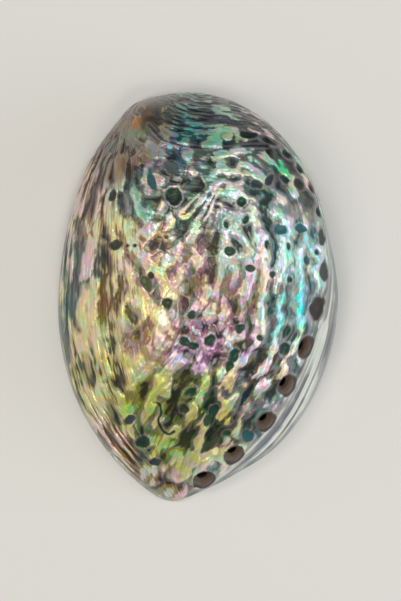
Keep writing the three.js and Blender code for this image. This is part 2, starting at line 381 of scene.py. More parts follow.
ROW_LINE: tuple[Span, ...] = (
    (-0.39, 0.9), (-0.3, 0.81), (-0.12, 0.745), (0.1, 0.73), (0.33, 0.755), (0.5, 0.725),
    (0.64, 0.645), (0.745, 0.535), (0.81, 0.41), (0.845, 0.26), (0.85, 0.1), (0.815, -0.06),
    (0.735, -0.235), (0.615, -0.415), (0.47, -0.585), (0.255, -0.75), (0.04, -0.885),
)  # fmt: skip


@dataclass(frozen=True)
class Plan:
    """The shell seen from above: its mouth, its hole row and the crown of its dome."""

    half: Span = (51.5 * MM, 75.0 * MM)
    crown_share: Span = (-0.05, 0.13)
    row_samples: int = 321
    softness: float = 5.0 * MM  # how much the row's bends are rounded off farther in

    @property
    def mouth(self) -> PlanCurve:
        """The edge of the mouth."""
        return PlanCurve(MOUTH_OUTLINE, True, self.half)

    @property
    def row(self) -> PlanCurve:
        """The line of the breathing holes, from the spire to the front lip."""
        return PlanCurve(ROW_LINE, False, self.half)

    @property
    def crown(self) -> Numbers:
        """The point of the plan under the top of the dome."""
        return np.array(self.crown_share) * np.array(self.half)

    def place(self, share: Span) -> Numbers:
        """A point given as shares of the half sizes, in metres."""
        return np.array(share) * np.array(self.half)

    def row_at(self, x: Numbers, y: Numbers) -> tuple[Numbers, Numbers]:
        """How far points lie from the hole row.

        Args:
            x: first coordinates of the points.
            y: second coordinates of the points.

        Returns:
            The signed distances, positive outside the row, and how far along the row each
            point's nearest place is, from 0 to 1.
        """
        turns = np.linspace(0.0, 1.0, self.row_samples)
        line = self.row.at(turns)
        away, nearest = nearest_on(line, x, y)
        after = np.minimum(nearest + 1, len(line) - 1)
        before = np.maximum(nearest - 1, 0)
        way = line[after] - line[before]
        dx, dy = x - line[nearest, 0], y - line[nearest, 1]
        side = way[..., 0] * dy - way[..., 1] * dx
        past = (way[..., 0] * dx + way[..., 1] * dy) / (way**2).sum(-1)
        turn = turns[nearest] + np.clip(past, -0.5, 0.5) * (turns[after] - turns[before])
        return np.where(side >= 0, away, -away), np.clip(turn, 0.0, 1.0)

    def inward(self, x: Numbers, y: Numbers) -> Numbers:
        """How far inside the row points lie, with the row's bends rounded off farther in.

        Every bit of the row pulls at a point, less the farther it is. The distance is the one at
        which a long straight row would pull as hard.

        Args:
            x: first coordinates of the points.
            y: second coordinates of the points.

        Returns:
            Distances in metres, 0 on the row and outside it.
        """
        line = self.row.at(np.linspace(0.0, 1.0, self.row_samples // 2 + 1))
        stretch = np.hypot(*np.gradient(line, axis=0).T)
        pull = np.zeros(x.shape)
        for (px, py), length in zip(line, stretch):
            pull += length * np.exp(-np.hypot(x - px, y - py) / self.softness)
        gaps = np.linspace(0.0, 120.0 * MM, 241)
        straight = np.linspace(-150.0 * MM, 150.0 * MM, 601)
        step = 0.5 * MM
        straight_pull = [np.exp(-np.hypot(gap, straight) / self.softness).sum() * step for gap in gaps]
        return np.interp(-np.log(pull), -np.log(straight_pull), gaps)


# ------------------------------------------------------------------------------------ the dome
@dataclass(frozen=True)
class Dome:
    """The plain outside and hollow of the shell, before any relief.

    Attributes:
        plan: the shell seen from above.
        height: how high the crown stands.
        crown_wall: how thick the wall is at the crown.
        lip_wall: how wide the ground edge of the mouth is.
        steep_side: the way from the crown to the steepest side.
        fullness: how far out the dome stays high, on the gentle and on the steep side.
        bluntness: the power that shapes the wall at the mouth, upright at 0.5 and slanting at 1, on
            the gentle and on the steep side.
        plate: the least and the greatest width of the inner lip's plate.
        plate_slope: how far the plate rises for each step inwards.
        plate_middle: the way from the crown to the widest place of the plate.
        plate_turn: how far round from there it narrows.
        bank: how wide the bank between the plate and the vault is at its widest.
    """

    plan: Plan
    height: float = 42.0 * MM
    crown_wall: float = 3.4 * MM
    lip_wall: float = 2.2 * MM
    steep_side: float = math.radians(48)
    fullness: Span = (1.95, 2.55)
    bluntness: Span = (0.86, 0.56)
    plate: Span = (0.8 * MM, 7.8 * MM)
    plate_slope: float = 0.38
    plate_middle: float = math.radians(28)
    plate_turn: float = math.radians(110)
    bank: float = 3.2 * MM

    def rise(self, direction: Numbers, reach: Numbers) -> Numbers:
        """The dome's height as a share of its crown's.

        Args:
            direction: the way from the crown, as an angle of the plan.
            reach: the share of the way out to the mouth.

        Returns:
            1 at the crown and 0 at the mouth.
        """
        steep = 0.5 + 0.5 * np.cos(direction - self.steep_side)
        fullness = lerp(*self.fullness, steep)
        bluntness = lerp(*self.bluntness, steep)
        return np.maximum(0.0, 1.0 - reach**fullness) ** bluntness

    def ray(self, turn: Numbers) -> tuple[Numbers, Numbers]:
        """The direction and length of the way from the crown to the mouth's edge."""
        way = self.plan.mouth.at(turn) - self.plan.crown
        return np.arctan2(way[..., 1], way[..., 0]), np.hypot(way[..., 0], way[..., 1])

    def plan_point(self, direction: Numbers, length: Numbers, reach: Numbers) -> Numbers:
        """Where a share of the way out lies: on an oval near the crown, on the outline at the lip.

        Args:
            direction: the way from the crown.
            length: how far the outline is that way.
            reach: the share of the way out.

        Returns:
            The points of the plan.
        """
        half = np.array(self.plan.half)
        unit = np.stack([np.cos(direction), np.sin(direction)], axis=-1)
        way, start = unit / half, self.plan.crown / half
        a, b = (way**2).sum(-1), (way * start).sum(-1)
        oval = (np.sqrt(b * b - a * ((start**2).sum() - 1.0)) - b) / a
        span = lerp(oval, length, reach**2) * reach
        return unit * span[..., None] + self.plan.crown

    def outside(self, turn: Numbers, reach: Numbers) -> Numbers:
        """Points of the plain outside.

        Args:
            turn: the way round the mouth, from 0 to 1.
            reach: the share of the way out to it.

        Returns:
            The points, in metres.
        """
        direction, length = self.ray(turn)
        flat = self.plan_point(direction, length, reach)
        return np.concatenate([flat, (self.height * self.rise(direction, reach))[..., None]], axis=-1)

    def plate_width(self, direction: Numbers) -> Numbers:
        """How wide the inner lip's plate is.

        Args:
            direction: the way from the crown, as an angle of the plan.

        Returns:
            The widths, in metres.
        """
        off = direction - self.plate_middle
        off = np.abs(np.arctan2(np.sin(off), np.cos(off)))
        return lerp(self.plate[1], self.plate[0], smooth_step(off, 0.0, self.plate_turn))

    def hollow(self, turn: Numbers, depth: Numbers) -> Numbers:
        """Points of the hollow.

        Args:
            turn: the way round the mouth, from 0 to 1.
            depth: 0 at the vault, 1 where the bank starts, 2 where the plate starts, 3 at the lip.

        Returns:
            The points, in metres.
        """
        direction, length = self.ray(turn)
        length = length - self.lip_wall
        plate = self.plate_width(direction)
        bank = self.bank * plate / self.plate[1]
        start = 1.0 - (plate + bank) / length
        vault_part = start * np.sin(np.clip(depth, 0.0, 1.0) * math.pi / 2)
        bank_part = np.clip(depth - 1.0, 0.0, 1.0) * bank / length
        plate_part = np.clip(depth - 2.0, 0.0, 1.0) * plate / length
        reach = vault_part + bank_part + plate_part
        inward = (1.0 - reach) * length
        vault = (self.height - self.crown_wall) * self.rise(direction, reach)
        z = lerp(np.minimum(vault, self.plate_slope * inward), vault, smooth_step(inward - plate, 0.0, bank))
        return np.concatenate([self.plan_point(direction, length, reach), z[..., None]], axis=-1)


# ------------------------------------------------------------------------------------ growth lines
@dataclass(frozen=True)
class Growth:
    """Two coordinates that follow the shell's growth from the spire to the front lip.

    Lines of equal share leave the spire, fan out over the dome between the left edge (0) and the
    hole row (1), and meet again at the front lip. The turn is how far down such a line a point is.
    """

    plan: Plan
    samples: int = 401
    guess_shares: int = 31  # how many growth lines the first guess tries
    guess_stride: int = 5  # how many samples it goes on at a time along each
    steps: int = 7  # how many times the guess is mended
    least_area: float = 1e-7  # square metres, for the places where the growth lines meet
    overshoot: Span = (-0.1, 1.05)  # the least and greatest share that a guess may have

    def guides(self) -> tuple[Numbers, Numbers, Numbers]:
        """The left edge and the hole row, both from the spire to the front lip.

        Returns:
            The samples' turns, and their points on the left edge and on the hole row.
        """
        turns = np.linspace(0.0, 1.0, self.samples)
        left = self.plan.mouth.at(SPIRE_TURN + (TIP_TURN - SPIRE_TURN) * turns)
        return turns, left, self.plan.row.at(turns)

    def first_guess(self, points: Numbers) -> tuple[Numbers, Numbers]:
        """A rough place of each point between the guides, from the nearest of a few samples.

        Args:
            points: x and y pairs, in metres.

        Returns:
            The share and the turn of each point.
        """
        turns, left, right = self.guides()
        tried = range(0, self.samples, self.guess_stride)
        tree = kdtree.KDTree(self.guess_shares * len(tried))
        places = []
        for share in np.linspace(0.0, 1.0, self.guess_shares):
            for i in tried:
                x, y = lerp(left[i], right[i], share)
                tree.insert((x, y, 0.0), len(places))
                places.append((share, turns[i]))
        tree.balance()
        found = np.array([places[tree.find((x, y, 0.0))[1]] for x, y in points])
        return found[:, 0], found[:, 1]

    def at(self, x: Numbers, y: Numbers) -> tuple[Numbers, Numbers]:
        """The growth coordinates of points of the plan.

        Args:
            x: first coordinates, in metres.
            y: second coordinates, in metres.

        Returns:
            The share and the turn of each point.
        """
        points = np.stack([x.ravel(), y.ravel()], axis=-1)
        share, turn = self.first_guess(points)
        turns, left, right = self.guides()
        slopes = [np.gradient(side, turns, axis=0) for side in (left, right)]

        def read(table: Numbers) -> Numbers:
            """A table's values at the present turns."""
            return np.stack([np.interp(turn, turns, table[:, k]) for k in (0, 1)], axis=-1)

        for _ in range(self.steps):
            a, b, da, db = (read(table) for table in (left, right, *slopes))
            miss = points - lerp(a, b, share[:, None])
            over, down = b - a, lerp(da, db, share[:, None])
            area = over[:, 0] * down[:, 1] - over[:, 1] * down[:, 0]
            area = np.where(np.abs(area) < self.least_area, self.least_area, area)
            share = share + (miss[:, 0] * down[:, 1] - miss[:, 1] * down[:, 0]) / area
            share = np.clip(share, *self.overshoot)
            turn = turn + (over[:, 0] * miss[:, 1] - over[:, 1] * miss[:, 0]) / area
            turn = np.clip(turn, 0.0, 1.0)
        return np.minimum(share, 1.0).reshape(x.shape), turn.reshape(x.shape)


# ------------------------------------------------------------------------------------ pits and holes
@dataclass(frozen=True)
class Pit:
    """An oval mark in the surface.

    Attributes:
        at: where, as shares of the half sizes.
        radius: half its mean width, in metres.
        tone: the colour inside it.
        stretch: its length over its width.
        lean: the angle of its long side from +X, in degrees.
        depth: how deep it is, in metres.
    """

    at: Span
    radius: float
    tone: Hue
    stretch: float = 1.15
    lean: float = 90.0
    depth: float = 0.4 * MM

    def distance(self, plan: Plan, x: Numbers, y: Numbers) -> Numbers:
        """How far points of the plan lie from the pit's outline.

        Args:
            plan: the shell's plan.
            x: first coordinates of the points.
            y: second coordinates of the points.

        Returns:
            Signed distances in metres, negative inside.
        """
        centre = plan.place(self.at)
        turn = math.radians(self.lean)
        u = (x - centre[0]) * math.cos(turn) + (y - centre[1]) * math.sin(turn)
        v = -(x - centre[0]) * math.sin(turn) + (y - centre[1]) * math.cos(turn)
        long, short = self.radius * math.sqrt(self.stretch), self.radius / math.sqrt(self.stretch)
        return (np.hypot(u / long, v / short) - 1.0) * short


PITS = (
    Pit((-0.16, 0.46), 3.0 * MM, Hue.BOTTLE, 1.25, 115, 1.1 * MM),
    Pit((-0.31, 0.54), 2.3 * MM, Hue.TEAL, 2.2, 105, 0.5 * MM),
    Pit((-0.17, 0.59), 2.4 * MM, Hue.STEEL, 1.7, 140, 0.4 * MM),
    Pit((0.29, 0.44), 1.6 * MM, Hue.MOSS, 1.05, 90),
    Pit((0.32, 0.35), 1.4 * MM, Hue.MOSS, 1.3, 70),
    Pit((0.19, 0.33), 1.1 * MM, Hue.MOSS, 1.5, 100),
    Pit((0.21, 0.21), 1.9 * MM, Hue.MOSS, 1.2, 160),
    Pit((0.35, 0.13), 1.4 * MM, Hue.MOSS, 1.5, 170),
    Pit((0.46, 0.24), 1.2 * MM, Hue.MOSS, 1.8, 95),
    Pit((0.5, 0.1), 1.2 * MM, Hue.MOSS, 1.2, 90),
    Pit((0.61, 0.23), 1.1 * MM, Hue.MOSS, 1.7, 95),
    Pit((0.62, 0.08), 1.0 * MM, Hue.MOSS, 1.3, 90),
    Pit((-0.04, -0.08), 1.8 * MM, Hue.MOSS, 1.15, 30),
    Pit((-0.09, -0.205), 1.7 * MM, Hue.MOSS, 1.2, 140),
    Pit((-0.03, -0.225), 1.5 * MM, Hue.MOSS, 1.2, 150),
    Pit((0.08, -0.2), 2.0 * MM, Hue.MOSS, 1.25, 60),
    Pit((0.24, -0.27), 2.0 * MM, Hue.MOSS, 1.2, 70),
    Pit((0.21, -0.32), 1.6 * MM, Hue.MOSS, 1.3, 60),
    Pit((0.28, -0.15), 1.7 * MM, Hue.MOSS, 1.3, 40),
    Pit((0.41, -0.19), 1.1 * MM, Hue.MOSS, 1.05, 90),
    Pit((0.6, -0.16), 1.7 * MM, Hue.MOSS, 2.2, 70),
    Pit((0.59, -0.24), 1.8 * MM, Hue.MOSS, 1.4, 60),
    Pit((-0.05, -0.44), 1.7 * MM, Hue.MOSS, 1.4, 20),
    Pit((-0.09, -0.52), 1.7 * MM, Hue.DARK_OLIVE, 1.3, 130),
    Pit((0.11, -0.53), 1.7 * MM, Hue.MOSS, 1.3, 75),
    Pit((0.07, -0.58), 2.0 * MM, Hue.MOSS, 1.5, 60),
    Pit((0.2, -0.64), 1.2 * MM, Hue.MOSS, 1.3, 10),
    Pit((0.34, -0.65), 1.9 * MM, Hue.TEAL, 1.2, 20),
    Pit((0.8, 0.21), 1.1 * MM, Hue.MOSS, 1.6, 90),
    Pit((0.4, 0.52), 1.6 * MM, Hue.SLATE, 1.4, 0),
    Pit((0.48, 0.54), 1.5 * MM, Hue.SLATE, 1.5, 60),
    Pit((0.59, 0.55), 1.4 * MM, Hue.DEEP_TEAL, 1.5, 150),
    Pit((0.55, 0.31), 2.2 * MM, Hue.TEAL, 1.3, 10),
    Pit((0.7, 0.32), 1.7 * MM, Hue.TEAL, 1.3, 170),
    Pit((0.74, 0.17), 1.3 * MM, Hue.TEAL, 1.3, 90),
    Pit((0.68, 0.53), 1.6 * MM, Hue.DARK_OLIVE, 1.5, 120),
    Pit((-0.31, 0.1), 1.2 * MM, Hue.DARK_OLIVE, 1.2, 90),
    Pit((-0.34, 0.06), 2.1 * MM, Hue.OLIVE, 1.3, 110, 0.4 * MM),
    Pit((-0.2, -0.03), 1.9 * MM, Hue.DARK_OLIVE, 1.2, 60, 0.5 * MM),
    Pit((-0.55, 0.24), 2.0 * MM, Hue.DARK_OLIVE, 1.3, 20, 0.5 * MM),
    Pit((-0.58, 0.48), 1.8 * MM, Hue.DARK_OLIVE, 1.9, 80, 0.5 * MM),
    Pit((-0.47, 0.235), 0.6 * MM, Hue.BROWN, 1.1, 0, 0.3 * MM),
    Pit((-0.42, 0.235), 0.7 * MM, Hue.BROWN, 1.1, 0, 0.3 * MM),
    Pit((-0.21, 0.27), 0.6 * MM, Hue.BROWN, 1.1, 0, 0.3 * MM),
    Pit((0.13, 0.41), 0.9 * MM, Hue.PLUM, 1.8, 170, 0.4 * MM),
    Pit((0.07, 0.41), 0.6 * MM, Hue.BROWN, 1.1, 0, 0.3 * MM),
    Pit((-0.38, -0.69), 2.4 * MM, Hue.BOTTLE, 1.3, 30, 0.6 * MM),
    Pit((-0.3, -0.79), 1.9 * MM, Hue.SLATE, 1.3, 160, 0.5 * MM),
    Pit((-0.47, -0.58), 1.9 * MM, Hue.SLATE, 1.3, 30, 0.5 * MM),
    Pit((-0.19, 0.69), 1.0 * MM, Hue.TURQUOISE, 1.6, 20, 0.2 * MM),
    Pit((0.12, -0.73), 1.4 * MM, Hue.PALE_YELLOW, 1.6, 60, 0.2 * MM),
)


@dataclass(frozen=True)
class Crack:
    """A narrow line in the surface.

    Attributes:
        path: the points it runs through, as shares of the half sizes.
        width: how wide it is, in metres.
        tone: its colour.
        depth: how deep it is, in metres.
    """

    path: tuple[Span, ...]
    width: float
    tone: Hue
    depth: float = 0.2 * MM

    @property
    def radius(self) -> float:
        """Half its width."""
        return self.width / 2

    def distance(self, plan: Plan, x: Numbers, y: Numbers) -> Numbers:
        """Signed distance of points of the plan from the line's edge, negative inside."""
        line = PlanCurve(self.path, False, plan.half).at(np.linspace(0.0, 1.0, 60))
        return nearest_on(line, x, y)[0] - self.radius


CRACKS = (
    Crack(
        ((-0.33, 0.8), (-0.22, 0.725), (-0.02, 0.69), (0.17, 0.685), (0.32, 0.7), (0.47, 0.705)),
        0.8 * MM,
        Hue.SLATE,
        0.5 * MM,
    ),
    Crack(
        ((-0.3, -0.49), (-0.26, -0.5), (-0.25, -0.54), (-0.27, -0.58), (-0.24, -0.63)),
        0.9 * MM,
        Hue.BLACK_GREEN,
    ),
    Crack(((-0.24, -0.63), (-0.2, -0.645), (-0.16, -0.63)), 1.0 * MM, Hue.BLACK_GREEN),
    Crack(((-0.41, 0.9), (-0.43, 0.87), (-0.4, 0.85)), 0.5 * MM, Hue.BROWN),
)


@dataclass(frozen=True)
class BreathingHole:
    """One hole of the row: open right through, or healed to a shallow oval."""

    at: Span
    along: float
    across: float
    tone: Hue = Hue.UMBER


OPEN_HOLES = (
    BreathingHole((0.04, -0.88), 4.3 * MM, 3.5 * MM),
    BreathingHole((0.25, -0.748), 4.0 * MM, 3.2 * MM),
    BreathingHole((0.465, -0.583), 3.8 * MM, 3.0 * MM),
    BreathingHole((0.607, -0.412), 3.8 * MM, 2.8 * MM),
    BreathingHole((0.727, -0.232), 4.0 * MM, 2.5 * MM),
)
HEALED_HOLES = (
    BreathingHole((0.805, -0.05), 4.6 * MM, 2.3 * MM, Hue.BROWN),
    BreathingHole((0.845, 0.12), 3.8 * MM, 1.6 * MM, Hue.SMOKE),
    BreathingHole((0.835, 0.28), 3.2 * MM, 1.4 * MM, Hue.SMOKE),
    BreathingHole((0.815, 0.4), 2.3 * MM, 1.0 * MM, Hue.BLACK_GREEN),
    BreathingHole((0.765, 0.51), 2.0 * MM, 0.9 * MM, Hue.BLACK_GREEN),
    BreathingHole((0.69, 0.6), 2.0 * MM, 1.0 * MM, Hue.BLACK_GREEN),
    BreathingHole((0.6, 0.67), 2.0 * MM, 1.0 * MM, Hue.BLACK_GREEN),
    BreathingHole((0.48, 0.73), 3.0 * MM, 1.1 * MM, Hue.BLACK_GREEN),
    BreathingHole((0.34, 0.755), 2.8 * MM, 1.1 * MM, Hue.BLACK_GREEN),
)


# ------------------------------------------------------------------------------------ the relief
@dataclass(frozen=True)
class Spot:
    """An oval area of the plan: its middle as shares, and its half sizes in metres."""

    at: Span
    wide: float
    long: float


@dataclass(frozen=True)
class Fold:
    """A long crest, painted bright as a highlight, or a dip painted dark as shade if its height is below 0.

    Attributes:
        path: the points it runs through, as shares of the half sizes.
        width: how far it reaches to each side, in metres.
        height: how far it rises, 1 for a full crest.
    """

    path: tuple[Span, ...]
    width: float = 1.2 * MM
    height: float = 1.0

    def rise(self, plan: Plan, x: Numbers, y: Numbers) -> Numbers:
        """How much of its full height the fold has at points of the plan."""
        line = PlanCurve(self.path, False, plan.half).at(np.linspace(0.0, 1.0, 36))
        return bell(nearest_on(line, x, y)[0], self.width)


# Listed crests that raise the painted highlight, and dips (height below 0) that deepen the painted shade.
FOLDS = (
    Fold(((-0.13, -0.3), (-0.25, -0.41), (-0.34, -0.5)), 2.4 * MM),
    Fold(((0.05, -0.32), (0.04, -0.4), (-0.01, -0.48), (-0.07, -0.57), (-0.15, -0.63)), 1.6 * MM),
    Fold(((0.16, -0.47), (0.18, -0.51), (0.13, -0.56)), 1.2 * MM),
    Fold(((0.24, -0.39), (0.22, -0.44)), 1.0 * MM),
    Fold(((-0.22, -0.67), (-0.32, -0.76)), 2.0 * MM),
    Fold(((0.03, -0.67), (-0.01, -0.75)), 1.2 * MM),
    Fold(((-0.08, -0.36), (-0.13, -0.45), (-0.21, -0.54)), 1.6 * MM, -1.2),
    Fold(((0.1, -0.36), (0.1, -0.43), (0.05, -0.51)), 1.4 * MM, -1.1),
    Fold(((-0.05, -0.52), (-0.12, -0.59)), 1.4 * MM, -0.6),
    Fold(
        (
            (-0.48, -0.31), (-0.51, -0.25), (-0.43, -0.22), (-0.33, -0.25),
            (-0.32, -0.33), (-0.39, -0.38), (-0.47, -0.35),
        )
    ),  # fmt: skip
    Fold(((-0.48, -0.01), (-0.53, -0.1), (-0.46, -0.16), (-0.37, -0.1), (-0.38, -0.01))),
    Fold(((-0.58, 0.41), (-0.49, 0.3), (-0.38, 0.19), (-0.28, 0.11), (-0.16, 0.02)), 2.2 * MM),
    Fold(((-0.55, 0.21), (-0.43, 0.07), (-0.32, -0.04), (-0.21, -0.13)), 2.2 * MM),
    Fold(((-0.46, 0.19), (-0.34, 0.06), (-0.25, -0.03)), 1.4 * MM, -0.9),
    Fold(((-0.44, 0.48), (-0.4, 0.41), (-0.34, 0.33)), 1.8 * MM),
    Fold(((-0.48, 0.5), (-0.45, 0.42), (-0.39, 0.34)), 1.4 * MM, -0.8),
    Fold(((-0.36, 0.31), (-0.32, 0.28), (-0.36, 0.24), (-0.4, 0.28), (-0.36, 0.31)), 0.8 * MM),
    Fold(((-0.84, 0.36), (-0.8, 0.27), (-0.82, 0.16)), 1.6 * MM, -1.4),
    Fold(((-0.7, 0.12), (-0.65, 0.08), (-0.67, 0.02)), 1.8 * MM, -1.4),
    Fold(((-0.66, 0.24), (-0.62, 0.17)), 1.4 * MM, -1.2),
    Fold(((-0.89, 0.05), (-0.88, -0.06), (-0.83, -0.16)), 1.6 * MM, -1.4),
    Fold(((-0.94, -0.18), (-0.92, -0.3)), 2.0 * MM, -1.2),
    Fold(((-0.8, -0.33), (-0.74, -0.42)), 1.8 * MM, -1.2),
    Fold(((-0.57, -0.02), (-0.54, -0.09)), 1.4 * MM, -1.2),
    Fold(((0.19, 0.29), (0.17, 0.16), (0.11, 0.02)), 2.0 * MM),
    Fold(((0.13, 0.26), (0.11, 0.15), (0.06, 0.06)), 1.4 * MM, -0.8),
    Fold(((0.05, 0.08), (0.07, 0.02), (0.04, -0.01))),
    Fold(((0.17, -0.01), (0.19, -0.07)), 1.5 * MM),
    Fold(((-0.02, 0.2), (0.01, 0.15)), 1.8 * MM),
    Fold(((0.0, 0.33), (-0.04, 0.28)), 1.6 * MM),
    Fold(((0.43, 0.28), (0.39, 0.16), (0.33, -0.01)), 1.2 * MM),
    Fold(((0.59, 0.3), (0.55, 0.16), (0.51, 0.02)), 1.2 * MM),
    Fold(((0.1, 0.56), (0.16, 0.59), (0.24, 0.58), (0.29, 0.61), (0.37, 0.59), (0.42, 0.54)), 1.3 * MM),
    Fold(((0.1, 0.5), (0.17, 0.53), (0.23, 0.51), (0.3, 0.53)), 1.2 * MM),
    Fold(((0.12, 0.64), (0.2, 0.66), (0.28, 0.64)), 1.1 * MM),
    Fold(((0.15, 0.78), (0.22, 0.775)), 2.6 * MM, 0.9),
    Fold(((0.35, 0.79), (0.42, 0.765)), 0.9 * MM),
    Fold(((0.47, 0.78), (0.5, 0.765)), 0.8 * MM),
    Fold(((0.08, 0.775), (0.14, 0.765)), 1.0 * MM),
    Fold(((0.22, 0.85), (0.26, 0.84)), 0.8 * MM),
    Fold(((0.1, 0.885), (0.14, 0.88)), 0.8 * MM),
    Fold(((0.56, 0.63), (0.6, 0.59)), 1.0 * MM),
    Fold(((0.63, 0.52), (0.66, 0.48)), 1.0 * MM),
    Fold(((0.68, 0.665), (0.73, 0.62), (0.77, 0.56)), 0.8 * MM),
)

MOSAIC = Spot((0.07, -0.19), 13.0 * MM, 11.0 * MM)  # small bold cells on the front lip's side of the crown
MILK = Spot((-0.34, -0.17), 8.0 * MM, 15.0 * MM)  # calm, milky nacre to their left
RAYS = Spot((0.04, 0.41), 10.0 * MM, 5.5 * MM)  # fine rays on the spire's side of the crown
RAYS_FROM: Span = (0.22, 0.62)  # the place the rays run out from


@dataclass
class Grain:
    """One pattern: its ups and downs, the edges of its cells and each cell's own hue."""

    height: Numbers
    seam: Numbers
    luck: Numbers

    @classmethod
    def of(cls, cells: tuple[Numbers, ...], ripples: Numbers, boldness: float) -> "Grain":
        """A pattern of cells with ripples over them.

        Args:
            cells: the cells' edges, their two own numbers and their slants.
            ripples: heights from about -1 to 1.
            boldness: how much the cells differ in height.

        Returns:
            The pattern.
        """
        seam, luck, hue, slant = cells
        soft = smooth_step(seam, -0.08, 0.2)
        # Each cell slopes from dark to bright along its slant: a real tilt of the relief, and painted
        # shading across the cell in the colour.
        mound = (luck - 0.5 + 0.9 * slant) * soft + 0.35 * (smooth_step(seam, 0.0, 0.4) - 0.6)
        return cls(ripples + boldness * mound, seam, 0.5 + (hue - 0.5 + 0.5 * slant) * soft)


